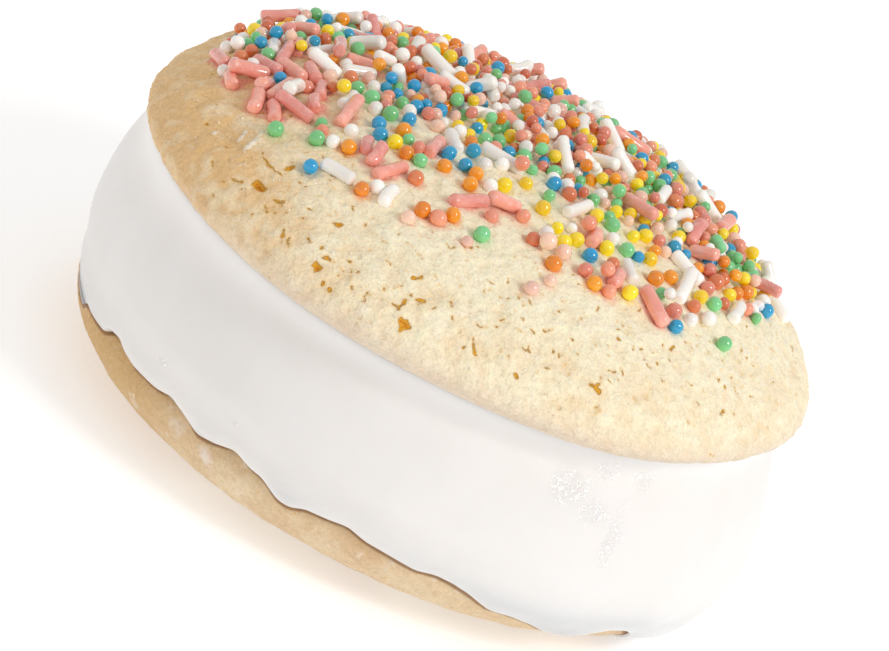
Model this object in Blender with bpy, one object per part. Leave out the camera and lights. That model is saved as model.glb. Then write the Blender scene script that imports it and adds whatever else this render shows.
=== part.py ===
"""Ice cream sandwich: two domed sugar cookies round a thick disc of vanilla ice cream.

The lower cookie lies dome down on a pressed flat spot. The ice cream has melted a little, so it
bulges between the cookies and runs down over the lower one in an uneven edge. The upper cookie
carries rod and ball sprinkles, fused to its dough. The origin is the centre of the flat spot,
+Z runs up through the stack, and -Y is the side with the highest run of bare cookie.
"""

import math
import random
from dataclasses import dataclass

import bmesh
import bpy
from mathutils import Matrix, Vector, noise

MM = 0.001
TAU = 2 * math.pi

# Gaps that keep neighbouring solids apart: under the upper cookie, and round the lower one
GAP = 0.3 * MM
LAP_GAP = 0.38 * MM

# Lower cookie, dome down
BASE_RADIUS = 41.8 * MM
BASE_WIDEST_Z = 7.5 * MM
BASE_TOP_Z = 12.0 * MM
BASE_PRESSED = 1.0 * MM
BASE_WOBBLE = ((2, 0.30 * MM, -1.6), (3, 0.30 * MM, 2.1), (5, 0.15 * MM, 4.0))

# Upper cookie, dome up and a little off centre
TOP_CENTRE = (-1.5 * MM, -1.5 * MM)
TOP_RADIUS = 42.0 * MM
TOP_UNDERSIDE_Z = 26.5 * MM
TOP_WIDEST_Z = 30.4 * MM
TOP_DOME_Z = 42.6 * MM
TOP_WOBBLE = ((2, 0.35 * MM, 2.9), (3, 0.25 * MM, 0.6), (7, 0.12 * MM, 1.0))
TOP_SWELL, SWELL_ANGLE, SWELL_WIDTH = 0.8 * MM, math.radians(-56), math.radians(17)

# Roundness of a cookie's dome and of its flat side, as powers of the share of its radius
DOME_POWER = 2.6
DOME_ROOT = 0.62
PRESSED_POWER = 4.0
PRESSED_ROOT = 0.55
FLAT_POWER = 8.0
FLAT_ROOT = 0.5

# Lumps of the baked dough
LUMP_HEIGHT = 0.28 * MM
LUMP_WIDTH = 8.0 * MM

# Ice cream wall: greatest radius, and its height, at the -X side and at the melted +X side
WALL_FIRM = (43.8 * MM, 17.0 * MM)
WALL_MELTED = (43.1 * MM, 9.7 * MM)
WALL_CURVE = 0.019 / MM
WALL_UNDERCUT = 0.030 / MM
LAP_HEIGHT = 3.0 * MM
LIP_THICKNESS = 0.8 * MM
LIP_MELTED_THICKNESS = 3.0 * MM

# Lower edge of the ice cream: angle in degrees about the origin, and height
RUN_EDGE = (
    (-180, 8.0), (-170, 8.9), (-161, 7.6), (-152, 7.3), (-147, 8.6), (-142, 9.5), (-139, 10.0),
    (-134, 9.3), (-128, 9.3), (-122, 10.0), (-116, 8.6), (-109, 9.7), (-104, 9.1), (-99, 7.9),
    (-94, 8.8), (-89, 9.1), (-83, 8.3), (-75, 8.4), (-69, 7.6), (-61, 6.5), (-54, 5.2),
    (-49, 4.6), (-45, 6.4), (-39, 6.8), (-34, 3.2), (-28, 2.4), (-15, 1.6), (0, 1.2), (16, 1.6),
    (30, 2.6), (41, 5.6), (50, 4.9), (60, 7.3), (72, 6.4), (85, 8.6), (97, 7.7), (110, 9.2),
    (122, 8.3), (134, 9.4), (146, 8.5), (158, 9.3), (169, 7.8), (180, 8.0),
)

# Sprinkles: the patch that they cover, about the upper cookie's centre
PATCH_CENTRE = (-2.0 * MM, 2.0 * MM)
PATCH_RADIUS = 34.0 * MM
FRONT_Y = -10.0 * MM
FRONT_BLEND = 8.0 * MM
SINGLE_BELOW_Y = -3.0 * MM
SINGLE_HEIGHT = 0.9 * MM
SPRINKLE_SEED = 11
ROD_RADIUS = (0.72 * MM, 0.86 * MM)
ROD_LENGTH = (3.2 * MM, 5.6 * MM)
ROD_COUNT = 105
BALL_RADIUS = (0.66 * MM, 0.92 * MM)
BALL_COUNT = 660
SUNK_SHARE = 0.42
PILE_HEIGHT = 1.8 * MM

# The sprinkles that stand clear enough to know by sight: centre from the upper cookie's centre
# in millimetres, then a rod's heading in degrees and its length, or a ball's diameter
SEEN_RODS = (
    (-16.9, -26.9, -18, 4.2), (-10.8, -27.6, 85, 3.4), (-28.9, -17.0, -80, 4.2),
    (-26.6, -18.4, -70, 3.6), (-32.7, -12.4, -70, 3.4), (-35.5, -6.2, -61, 4.2),
    (-33.1, -8.3, -60, 3.2), (-30.3, -7.3, -44, 4.6), (-25.4, -6.7, -64, 4.0),
    (-27.6, -7.6, -42, 4.8), (-23.5, -10.6, -80, 3.8), (-23.1, -14.6, -75, 3.0),
    (-24.8, -17.3, -16, 5.0), (-31.6, -11.0, 40, 5.2), (-29.2, -13.4, 82, 3.8),
    (-27.3, -13.2, 78, 5.4), (-26.0, -14.0, 84, 5.0), (-31.0, -1.6, -80, 4.6),
    (-24.8, -4.9, -18, 4.4), (-28.7, 0.5, -82, 5.0), (-26.1, 1.5, 62, 4.6),
    (-21.1, -2.0, 35, 4.2), (-20.3, -11.2, 83, 4.0), (-19.4, -14.6, 86, 6.4),
    (-15.5, -20.4, -78, 3.2), (-14.3, -22.2, 84, 3.2), (-12.1, -23.2, 56, 4.6),
    (-9.3, -14.3, 84, 4.4), (-7.8, -10.9, -62, 4.2), (-2.2, -8.8, -6, 5.6),
    (-3.1, -22.4, 44, 5.0), (0.3, -19.6, 38, 4.4), (7.8, -11.4, 70, 5.6), (10.7, -15.3, 88, 3.2),
    (14.7, -20.8, 88, 3.0), (15.8, -17.6, -60, 3.6), (19.9, -20.6, -41, 5.2),
    (21.7, -7.8, -28, 4.8), (22.2, -12.4, 88, 6.8), (28.9, -8.2, 86, 5.0), (31.0, -2.4, 80, 4.0),
    (31.4, 9.6, 24, 5.6), (33.3, 5.6, -34, 5.2),
)
SEEN_BALLS = (
    (-19.7, -27.4, 1.8), (-15.1, -16.9, 1.8), (-15.9, -14.4, 1.7), (-13.3, -10.6, 1.7),
    (-7.6, -14.4, 1.8), (-5.4, -15.1, 1.7), (-5.4, -11.0, 1.8), (4.2, -8.7, 1.8),
    (11.2, -19.4, 1.8), (16.1, -13.0, 1.4), (23.0, -20.7, 1.7), (23.9, -2.1, 1.8),
    (32.4, 0.0, 1.8), (-25.2, -22.1, 1.8), (-20.8, -21.9, 1.8), (-21.3, -18.4, 1.4),
    (-9.9, -18.9, 1.7), (-12.2, -15.2, 1.4), (-15.4, -11.2, 1.9), (-20.2, -7.2, 1.7),
    (-18.2, -8.6, 1.9), (-0.2, -26.9, 2.0), (4.3, -12.1, 1.5), (12.0, -10.2, 1.8),
    (14.6, -13.6, 1.8), (20.0, -17.3, 1.4), (26.1, -10.8, 1.8), (28.8, -16.1, 1.8),
    (26.3, 1.6, 1.7), (27.2, 3.0, 1.7), (28.3, 4.6, 1.7), (29.6, 6.8, 1.7), (-33.9, -1.0, 1.7),
    (-13.3, -17.4, 1.8), (-0.6, -15.1, 1.8), (1.4, -12.2, 1.7), (4.3, -15.8, 1.9),
    (6.7, -17.8, 1.5), (9.1, -18.0, 1.8), (8.0, -19.9, 1.8), (12.5, -16.0, 1.8),
    (10.0, -10.2, 1.8), (17.4, -11.7, 1.8), (16.8, -21.7, 1.9), (24.3, -11.9, 1.8),
    (27.4, -5.6, 1.7), (-21.4, -10.8, 1.7), (15.9, -7.4, 1.8), (-17.3, -21.8, 1.8),
    (-13.7, -28.3, 1.7), (-7.0, -27.6, 1.9), (-3.9, -26.2, 1.8), (-7.3, -17.8, 1.7),
    (-11.6, -18.7, 1.7), (-13.2, -13.6, 1.8), (-3.9, -18.9, 1.8), (-3.9, -16.0, 1.8),
    (8.0, -25.1, 1.9), (12.9, -24.2, 1.8), (18.8, -15.3, 1.9), (20.3, -12.4, 1.8),
    (29.2, -1.2, 1.8), (-32.2, -5.4, 1.7), (-5.1, -27.8, 2.0), (-20.8, -19.8, 1.5),
    (-0.2, -22.9, 1.6), (2.8, -19.7, 1.7), (11.4, -22.8, 1.7), (14.7, -23.6, 1.7),
    (13.5, -21.9, 1.7), (9.5, -15.0, 1.7), (22.1, -18.6, 1.8), (24.7, -8.6, 1.7),
    (0.0, -10.2, 1.8), (-10.8, -16.4, 1.6), (-9.3, -22.8, 1.8), (4.9, -22.9, 1.7),
    (13.8, -18.9, 1.7), (24.0, -14.4, 1.7), (25.4, -5.6, 1.9), (6.2, -9.2, 1.8),
    (-7.9, -29.9, 1.7), (-1.2, -29.2, 1.4), (6.4, -23.4, 2.0), (8.4, -22.0, 1.9),
    (8.5, -27.8, 1.5), (7.1, -30.5, 1.7), (-10.2, -9.0, 1.8), (-12.4, -27.0, 1.7),
    (-19.1, -21.6, 1.7), (-18.0, -18.5, 1.7), (-1.9, -16.9, 1.7), (-3.5, -12.8, 1.7),
    (5.9, -20.5, 1.8), (8.1, -16.1, 1.4), (12.7, -13.2, 1.7), (24.2, -17.5, 1.8),
    (26.1, -14.4, 1.8), (20.8, -18.1, 1.4), (-34.1, -10.3, 1.6), (-35.8, -2.2, 1.6),
)

# How finely the solids are cut into faces
BASE_STEPS, ICE_STEPS, TOP_STEPS = 56, 84, 52

# Where each section has its points: shares of the way out, down or back along that stretch
BASE_DOWN = (0.0, 0.25, 0.36, 0.43, 0.47, 0.5, 0.53, 0.56, 0.6, 0.65, 0.7, 0.75, 0.78, 0.9, 1.0)
ICE_UPPER = (0.0, 0.6, 0.85, 0.93, 0.975)
ICE_WALL = (0.0, 0.12, 0.3, 0.5, 0.68, 0.82, 0.92, 1.0)
ICE_BACK = (1.0, 0.72, 0.48, 0.28, 0.12)
ICE_LOWER = (0.43, 0.36, 0.25, 0.0)
TOP_OVER = (0.0, 0.16, 0.32, 0.47, 0.6, 0.72, 0.82, 0.9, 0.95, 0.985, 1.0)
TOP_UNDER = (0.985, 0.95, 0.88, 0.75, 0.4, 0.0)

# Sprinkles fused to the dough
ROD_SIDES = 6
FUSED_RODS = 62
FUSED_BALLS = 90
FUSED_SEEN_SHARE = 0.55
FUSED_CLEARANCE = (1.8 * MM, 1.2 * MM, 0.7 * MM, 0.3 * MM, 0.12 * MM)


@dataclass
class Sprinkle:
    """One sprinkle: a ball where its half length is 0, and a rod where it isn't."""

    centre: Vector
    along: Vector
    radius: float
    half_length: float
    on_dough: bool


def clear_scene():
    for obj in list(bpy.data.objects):
        bpy.data.objects.remove(obj)


def new_collection(name):
    collection = bpy.data.collections.new(name)
    bpy.context.scene.collection.children.link(collection)
    return collection


def material(name, colour, roughness):
    made = bpy.data.materials.new(name)
    made.use_nodes = True
    shader = made.node_tree.nodes["Principled BSDF"]
    shader.inputs["Base Color"].default_value = (*colour, 1.0)
    shader.inputs["Roughness"].default_value = roughness
    shader.inputs["Metallic"].default_value = 0.0
    return made


def wobble(angle, waves):
    """Uneven outline of a hand-shaped round: how far it stands out at this angle."""
    return sum(height * math.cos(lobes * angle + phase) for lobes, height, phase in waves)


def smooth(value):
    value = min(1.0, max(0.0, value))
    return value * value * (3 - 2 * value)


def lumps(x, y, seed):
    """Height of the baked lumps at a point of the dough."""
    wide = noise.noise(Vector((x / LUMP_WIDTH, y / LUMP_WIDTH, seed)))
    fine = noise.noise(Vector((2.3 * x / LUMP_WIDTH, 2.3 * y / LUMP_WIDTH, seed + 7)))
    return LUMP_HEIGHT * (wide + 0.5 * fine)


def dome_share(share, power, root):
    """1 in the middle of a dome and 0 at its edge, for a point at this share of the radius."""
    return max(0.0, 1.0 - min(1.0, share) ** power) ** root


def top_radius(angle):
    """Radius of the upper cookie, which swells out in one place on its near side."""
    swell = TOP_SWELL * math.exp(-(((angle - SWELL_ANGLE) / SWELL_WIDTH) ** 2))
    return TOP_RADIUS + wobble(angle, TOP_WOBBLE) + swell


def top_share(x, y):
    """Share of the upper cookie's own radius at which a point lies."""
    dx, dy = x - TOP_CENTRE[0], y - TOP_CENTRE[1]
    return math.hypot(dx, dy) / top_radius(math.atan2(dy, dx))


def dome_height(x, y):
    """Height of the upper cookie's domed face."""
    share = top_share(x, y)
    rise = (TOP_DOME_Z - TOP_WIDEST_Z) * dome_share(share, DOME_POWER, DOME_ROOT)
    return TOP_WIDEST_Z + rise + lumps(x, y, 3.0) * smooth((1.0 - share) * 8)


def underside_height(x, y):
    """Height of the upper cookie's flat face, which turns up at its rim."""
    flat = (TOP_WIDEST_Z - TOP_UNDERSIDE_Z) * dome_share(top_share(x, y), FLAT_POWER, FLAT_ROOT)
    return TOP_WIDEST_Z - flat


def base_profile(angle, share_down):
    """Radius and height on the lower cookie, from 0 at its top centre to 1 at its lowest."""
    radius = BASE_RADIUS + wobble(angle, BASE_WOBBLE)
    share = 1 - (1 - 2 * share_down) ** 2
    if share_down < 0.5:
        rise = (BASE_TOP_Z - BASE_WIDEST_Z) * dome_share(share, FLAT_POWER, FLAT_ROOT)
        return share * radius, BASE_WIDEST_Z + rise
    depth = BASE_WIDEST_Z + BASE_PRESSED
    height = max(0.0, BASE_WIDEST_Z - depth * dome_share(share, PRESSED_POWER, PRESSED_ROOT))
    place = Vector((math.cos(angle), math.sin(angle), height / radius)) * (radius / LUMP_WIDTH)
    lump = LUMP_HEIGHT * noise.noise(place) * smooth(height / (2 * MM)) * smooth(8 * share_down - 4)
    return share * radius + lump, height


def beside_base(angle, share_down, distance):
    """Point at this distance outside the lower cookie's surface, as radius and height."""
    step = 0.004
    r0, z0 = base_profile(angle, share_down - step)
    r1, z1 = base_profile(angle, share_down + step)
    radius, height = base_profile(angle, share_down)
    length = math.hypot(r1 - r0, z1 - z0)
    return radius - distance * (z1 - z0) / length, height + distance * (r1 - r0) / length


def run_height(angle):
    """Height of the ice cream's lower edge at this angle, eased between its points."""
    degrees = math.degrees(angle)
    for (a0, z0), (a1, z1) in zip(RUN_EDGE, RUN_EDGE[1:]):
        if a0 <= degrees <= a1:
            return (z0 + (z1 - z0) * smooth((degrees - a0) / (a1 - a0))) * MM
    return RUN_EDGE[0][1] * MM


def share_at_height(angle, height):
    """How far down the lower cookie's side it reaches this height."""
    low, high = 0.1, 0.8
    for _ in range(24):
        middle = (low + high) / 2
        if base_profile(angle, middle)[1] > height:
            low = middle
        else:
            high = middle
    return low


def melt(angle):
    """0 on the firm -X side, 1 on the melted +X side."""
    return smooth(0.5 + 0.5 * math.cos(angle))


def wall_radius(angle, height):
    """Radius of the ice cream's bulging wall."""
    soft = melt(angle)
    widest = WALL_FIRM[0] + (WALL_MELTED[0] - WALL_FIRM[0]) * soft
    at = WALL_FIRM[1] + (WALL_MELTED[1] - WALL_FIRM[1]) * soft
    curve = WALL_CURVE + (WALL_UNDERCUT * soft if height < at else 0.0)
    ripple = 0.12 * MM * math.sin(5 * angle + height / (4 * MM))
    return widest - curve * (height - at) ** 2 + ripple


def lip_thickness(angle):
    """How far the run of ice cream stands out from the lower cookie, most where it melted."""
    soft = smooth((math.cos(angle) - 0.8) / 0.18)
    return LIP_THICKNESS + (LIP_MELTED_THICKNESS - LIP_THICKNESS) * soft


def shoulder(angle):
    """Radius and height at which the wall meets the upper cookie's rim."""
    low, high = TOP_UNDERSIDE_Z - GAP, TOP_WIDEST_Z
    for _ in range(24):
        middle = (low + high) / 2
        radius = wall_radius(angle, middle)
        if middle < underside_height(radius * math.cos(angle), radius * math.sin(angle)) - GAP:
            low = middle
        else:
            high = middle
    return wall_radius(angle, low), low


def ice_outline(angle):
    """Points of the ice cream's section: out under the upper cookie to the shoulder, down the
    wall to the lip, and back in over the lower cookie."""
    cos, sin = math.cos(angle), math.sin(angle)
    rim_radius, rim_z = shoulder(angle)
    edge_z = run_height(angle)
    lip = lip_thickness(angle)
    section = []
    for share in ICE_UPPER:
        radius = share * rim_radius
        section.append((radius, min(rim_z, underside_height(radius * cos, radius * sin) - GAP)))
    low_z, lapped_z = edge_z + 0.3 * lip, BASE_TOP_Z + LAP_HEIGHT
    for share in ICE_WALL:
        height = rim_z + (low_z - rim_z) * share
        wall = wall_radius(angle, height)
        down = share_at_height(angle, min(height, BASE_WIDEST_Z))
        lapped = min(wall, base_profile(angle, down)[0] + LAP_GAP + lip)
        section.append((wall + (lapped - wall) * smooth((lapped_z - height) / (lapped_z - low_z)), height))
    inner = share_at_height(angle, edge_z + 0.15 * lip)
    back = beside_base(angle, inner, LAP_GAP)
    section.append(((section[-1][0] + back[0]) / 2, edge_z))
    for share in ICE_BACK:
        section.append(beside_base(angle, ICE_LOWER[0] + (inner - ICE_LOWER[0]) * share, LAP_GAP))
    for share_down in ICE_LOWER:
        section.append(beside_base(angle, share_down, LAP_GAP))
    return [Vector((radius * cos, radius * sin, height)) for radius, height in section]


def base_outline(angle):
    section = [base_profile(angle, share_down) for share_down in BASE_DOWN]
    return [Vector((radius * math.cos(angle), radius * math.sin(angle), z)) for radius, z in section]


def top_outline(angle):
    """Points of the upper cookie's section, over its dome and back under its flat face."""
    radius = top_radius(angle)
    points = []
    for out in TOP_OVER:
        x = TOP_CENTRE[0] + out * radius * math.cos(angle)
        y = TOP_CENTRE[1] + out * radius * math.sin(angle)
        points.append(Vector((x, y, dome_height(x, y))))
    for out in TOP_UNDER:
        x = TOP_CENTRE[0] + out * radius * math.cos(angle)
        y = TOP_CENTRE[1] + out * radius * math.sin(angle)
        points.append(Vector((x, y, underside_height(x, y))))
    return points


def turned_body(name, steps, outline_at, look, collection):
    """A ball of faces whose points are moved to outline_at(angle), a section from the top of
    the axis to the bottom."""
    outlines = [outline_at(TAU * step / steps if 2 * step <= steps else TAU * (step / steps - 1))
                for step in range(steps)]
    rings = len(outlines[0]) - 1
    mesh = bpy.data.meshes.new(name)
    shape = bmesh.new()
    bmesh.ops.create_uvsphere(shape, u_segments=steps, v_segments=rings, radius=1.0)
    for vertex in shape.verts:
        ring = round(math.acos(max(-1.0, min(1.0, vertex.co.z))) / math.pi * rings)
        step = round(math.atan2(vertex.co.y, vertex.co.x) / TAU * steps) % steps
        vertex.co = outlines[0 if ring in (0, rings) else step][ring]
    bmesh.ops.recalc_face_normals(shape, faces=shape.faces)
    shape.to_mesh(mesh)
    shape.free()
    mesh.materials.append(look)
    mesh.shade_smooth()
    obj = bpy.data.objects.new(name, mesh)
    collection.objects.link(obj)
    return obj


def dome_normal(x, y):
    step = 0.8 * MM
    slope_x = (dome_height(x + step, y) - dome_height(x - step, y)) / (2 * step)
    slope_y = (dome_height(x, y + step) - dome_height(x, y - step)) / (2 * step)
    return Vector((-slope_x, -slope_y, 1.0)).normalized()


def beads(sprinkle):
    """Balls that stand for a sprinkle when others come to rest on it."""
    if not sprinkle.half_length:
        return [sprinkle.centre]
    reach = sprinkle.half_length - sprinkle.radius
    return [sprinkle.centre + sprinkle.along * reach * share for share in (-1, -0.5, 0, 0.5, 1)]


def rest_height(x, y, radius, grid):
    """Height of a ball's centre where it rests on the dough or on the sprinkles below it."""
    normal = dome_normal(x, y)
    height = dome_height(x, y) + radius * (1 - SUNK_SHARE) / normal.z
    on_dough = True
    cell = (round(x / (2 * MM)), round(y / (2 * MM)))
    for i in (-1, 0, 1):
        for j in (-1, 0, 1):
            for centre, size in grid.get((cell[0] + i, cell[1] + j), ()):
                reach = 0.96 * (radius + size)
                flat = math.hypot(x - centre.x, y - centre.y)
                if flat >= reach:
                    continue
                above = centre.z + math.sqrt(reach * reach - flat * flat)
                if above > height:
                    height = above
                    on_dough = False
    return height, on_dough


def set_down(x, y, heading, radius, half_length, grid):
    """A sprinkle laid at this place, leaning on whatever is under its ends."""
    if not half_length:
        height, on_dough = rest_height(x, y, radius, grid)
        return Sprinkle(Vector((x, y, height)), Vector((1, 0, 0)), radius, 0.0, on_dough)
    reach = half_length - radius
    flat = Vector((math.cos(heading), math.sin(heading), 0))
    heights, clear = [], True
    for share in (-1, -0.5, 0, 0.5, 1):
        height, on_dough = rest_height(x + flat.x * reach * share, y + flat.y * reach * share, radius, grid)
        heights.append(height)
        clear = clear and on_dough
    slope = (heights[4] - heights[0]) / (2 * reach)
    lift = max(height - slope * reach * share for height, share in zip(heights, (-1, -0.5, 0, 0.5, 1)))
    along = Vector((flat.x, flat.y, slope)).normalized()
    return Sprinkle(Vector((x, y, lift)), along, radius, half_length, clear)


def add_to_grid(sprinkle, grid):
    for centre in beads(sprinkle):
        cell = (round(centre.x / (2 * MM)), round(centre.y / (2 * MM)))
        grid.setdefault(cell, []).append((centre, sprinkle.radius))


def crowding(x, y):
    """How likely a sprinkle is to land here: full at the back, thin along the front."""
    dx, dy = x - TOP_CENTRE[0] - PATCH_CENTRE[0], y - TOP_CENTRE[1] - PATCH_CENTRE[1]
    ragged = 1 + 0.07 * noise.noise(Vector((x / (7 * MM), y / (7 * MM), 5.0)))
    out = math.hypot(dx, dy) / (PATCH_RADIUS * ragged)
    if out > 1:
        return 0.0
    front = smooth((y - TOP_CENTRE[1] - FRONT_Y) / FRONT_BLEND + 0.5)
    clump = 0.5 + 0.9 * noise.noise(Vector((x / (4 * MM), y / (4 * MM), 21.0)))
    return front * min(1.0, 0.55 + clump) * (1 - smooth((out - 0.9) / 0.12) * 0.6)


def sprinkle_field():
    """Every sprinkle: those known by sight first, then rods and balls that fall at random."""
    draw = random.Random(SPRINKLE_SEED)
    grid, laid = {}, []

    def lay(x, y, heading, radius, half_length, highest):
        made = set_down(x, y, heading, radius, half_length, grid)
        if made.centre.z - dome_height(made.centre.x, made.centre.y) > highest:
            return False
        laid.append(made)
        add_to_grid(made, grid)
        return True

    for x, y, heading, length in SEEN_RODS:
        radius = draw.uniform(*ROD_RADIUS)
        lay(x * MM + TOP_CENTRE[0], y * MM + TOP_CENTRE[1], math.radians(heading), radius,
            length * MM / 2, PILE_HEIGHT)
    for x, y, diameter in SEEN_BALLS:
        lay(x * MM + TOP_CENTRE[0], y * MM + TOP_CENTRE[1], 0.0, diameter * MM / 2, 0.0, PILE_HEIGHT)
    kinds = [True] * ROD_COUNT + [False] * BALL_COUNT
    draw.shuffle(kinds)
    for is_rod in kinds:
        for _ in range(40):
            turn, out = draw.uniform(0, TAU), math.sqrt(draw.random()) * PATCH_RADIUS * 1.08
            x = TOP_CENTRE[0] + PATCH_CENTRE[0] + out * math.cos(turn)
            y = TOP_CENTRE[1] + PATCH_CENTRE[1] + out * math.sin(turn)
            heading = draw.uniform(0, math.pi)
            radius = draw.uniform(*(ROD_RADIUS if is_rod else BALL_RADIUS))
            half_length = draw.uniform(*ROD_LENGTH) / 2 if is_rod else 0.0
            if draw.random() > crowding(x, y):
                continue
            front = y - TOP_CENTRE[1] < SINGLE_BELOW_Y
            if lay(x, y, heading, radius, half_length, SINGLE_HEIGHT if front else PILE_HEIGHT):
                break
    return laid


def apart(one, others, clearance):
    """True where a sprinkle keeps this distance from all the others."""
    for other in others:
        least = one.radius + other.radius + clearance
        if (one.centre - other.centre).length > least + one.half_length + other.half_length:
            continue
        if any((a - b).length < least for a in beads(one) for b in beads(other)):
            return False
    return True


def fused_sprinkles(laid):
    """The sprinkles that lie in the dough, the largest first, spread as widely as there is
    room for: those known by sight, then others with less and less space between them."""
    seen, chosen = len(SEEN_RODS) + len(SEEN_BALLS), []
    for is_rod, most in ((True, FUSED_RODS), (False, FUSED_BALLS)):
        left = [s for s in laid[:seen] if s.on_dough and bool(s.half_length) == is_rod]
        left.sort(key=lambda s: s.centre.y)
        rest = [s for s in laid[seen:] if s.on_dough and bool(s.half_length) == is_rod]
        rest.sort(key=lambda s: -s.half_length - s.radius)
        count = 0
        for sprinkle in left:
            if count < most * FUSED_SEEN_SHARE and apart(sprinkle, chosen, FUSED_CLEARANCE[-1]):
                chosen.append(sprinkle)
                count += 1
        for clearance in FUSED_CLEARANCE:
            for sprinkle in rest:
                if count < most and sprinkle not in chosen and apart(sprinkle, chosen, clearance):
                    chosen.append(sprinkle)
                    count += 1
    return chosen


def add_ball(name, sprinkle, look, collection):
    shape = bmesh.new()
    bmesh.ops.create_icosphere(shape, subdivisions=1, radius=sprinkle.radius * 1.06)
    place(name, shape, Matrix.Translation(sprinkle.centre), look, collection)


def add_rod(name, sprinkle, look, collection):
    """A short rod with chamfered ends, along its own Z and then laid on its heading."""
    shape = bmesh.new()
    bmesh.ops.create_cone(
        shape, cap_ends=True, segments=ROD_SIDES, radius1=sprinkle.radius * 1.05,
        radius2=sprinkle.radius * 1.05, depth=2 * sprinkle.half_length,
    )
    caps = [face for face in shape.faces if abs(face.normal.z) > 0.9]
    bmesh.ops.inset_region(shape, faces=caps, thickness=0.3 * sprinkle.radius)
    for vertex in shape.verts:
        if math.hypot(vertex.co.x, vertex.co.y) > 0.9 * sprinkle.radius:
            vertex.co.z *= 1 - 0.35 * sprinkle.radius / sprinkle.half_length
    turn = sprinkle.along.to_track_quat("Z", "Y").to_matrix().to_4x4()
    place(name, shape, Matrix.Translation(sprinkle.centre) @ turn, look, collection)


def place(name, shape, matrix, look, collection):
    mesh = bpy.data.meshes.new(name)
    bmesh.ops.transform(shape, matrix=matrix, verts=shape.verts)
    shape.to_mesh(mesh)
    shape.free()
    mesh.materials.append(look)
    collection.objects.link(bpy.data.objects.new(name, mesh))


def fuse(dough, collection):
    """Joins the collection's shapes to the dough and removes them."""
    union = dough.modifiers.new("sprinkles", "BOOLEAN")
    union.operation = "UNION"
    union.operand_type = "COLLECTION"
    union.collection = collection
    union.solver = "MANIFOLD"
    graph = bpy.context.evaluated_depsgraph_get()
    joined = bpy.data.meshes.new_from_object(dough.evaluated_get(graph))
    dough.modifiers.clear()
    dough.data = joined
    for obj in list(collection.objects):
        bpy.data.objects.remove(obj)
    bpy.data.collections.remove(collection)


def build():
    clear_scene()
    parts = new_collection("ice_cream_sandwich")
    loose = new_collection("sprinkles")
    baked = material("baked_dough_tan", (0.70, 0.52, 0.32), 0.75)
    pale = material("baked_dough_pale", (0.83, 0.70, 0.48), 0.75)
    cream = material("vanilla_ice_cream", (0.90, 0.88, 0.84), 0.35)
    candy = material("sugar_sprinkle", (0.85, 0.45, 0.35), 0.35)

    turned_body("bottom_cookie", BASE_STEPS, base_outline, baked, parts)
    turned_body("ice_cream", ICE_STEPS, ice_outline, cream, parts)
    top = turned_body("top_cookie", TOP_STEPS, top_outline, pale, parts)
    for number, sprinkle in enumerate(fused_sprinkles(sprinkle_field())):
        if sprinkle.half_length:
            add_rod(f"rod_{number}", sprinkle, candy, loose)
        else:
            add_ball(f"ball_{number}", sprinkle, candy, loose)
    fuse(top, loose)


build()
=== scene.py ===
"""Looks of the ice cream sandwich: porous baked dough, soft ice cream that has run over the
lower cookie, and several hundred glossy sugar sprinkles, each at its true size.

The shapes follow the same driving sizes as the solids, in metres, with the origin at the centre
of the flat spot on which the sandwich rests and +Z up through the stack.
"""

import functools
import itertools
import math
import random
from dataclasses import dataclass

import bpy
import numpy as np
from mathutils import Euler, Matrix, Quaternion, Vector, kdtree, noise


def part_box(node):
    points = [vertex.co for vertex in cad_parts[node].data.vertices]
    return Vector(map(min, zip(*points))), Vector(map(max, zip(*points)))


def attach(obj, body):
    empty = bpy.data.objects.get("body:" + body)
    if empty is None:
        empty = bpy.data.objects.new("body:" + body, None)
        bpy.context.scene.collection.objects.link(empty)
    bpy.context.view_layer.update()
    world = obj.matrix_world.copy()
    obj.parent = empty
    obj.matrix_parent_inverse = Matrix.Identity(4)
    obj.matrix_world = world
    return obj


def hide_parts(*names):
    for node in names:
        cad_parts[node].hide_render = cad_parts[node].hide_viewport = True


bl_info = {
    "name": "Ice Cream Sandwich",
    "version": (1, 0, 0),
    "blender": (4, 5, 0),
    "location": "3D View > Sidebar > Sandwich",
    "description": "Dresses a sprinkled sugar-cookie ice cream sandwich",
    "category": "Object",
}

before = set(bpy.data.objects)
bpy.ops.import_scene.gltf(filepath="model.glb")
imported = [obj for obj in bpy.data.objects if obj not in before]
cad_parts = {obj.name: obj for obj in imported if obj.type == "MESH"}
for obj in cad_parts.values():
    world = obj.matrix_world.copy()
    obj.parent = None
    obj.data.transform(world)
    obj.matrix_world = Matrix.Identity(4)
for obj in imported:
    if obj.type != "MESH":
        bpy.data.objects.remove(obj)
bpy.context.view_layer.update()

MM = 0.001
TAU = 2 * math.pi

# The ice cream sinks a little into the upper cookie, and its run lies close over the lower one
SUNK = 0.12 * MM
LAP_GAP = 0.12 * MM

# Lower cookie, dome down
BASE_RADIUS = 41.8 * MM
BASE_WIDEST_Z = 7.5 * MM
BASE_TOP_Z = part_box("bottom_cookie")[1].z
BASE_PRESSED = 1.0 * MM
BASE_WOBBLE = ((2, 0.30 * MM, -1.6), (3, 0.30 * MM, 2.1), (5, 0.15 * MM, 4.0))

# Upper cookie, dome up and a little off centre
TOP_CENTRE = (-1.5 * MM, -1.5 * MM)
TOP_RADIUS = 42.0 * MM
TOP_UNDERSIDE_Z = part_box("top_cookie")[0].z
TOP_WIDEST_Z = 30.4 * MM
TOP_DOME_Z = 42.6 * MM
TOP_WOBBLE = ((2, 0.35 * MM, 2.9), (3, 0.25 * MM, 0.6), (7, 0.12 * MM, 1.0))
TOP_SWELL, SWELL_ANGLE, SWELL_WIDTH = 0.8 * MM, math.radians(-56), math.radians(17)

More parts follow.
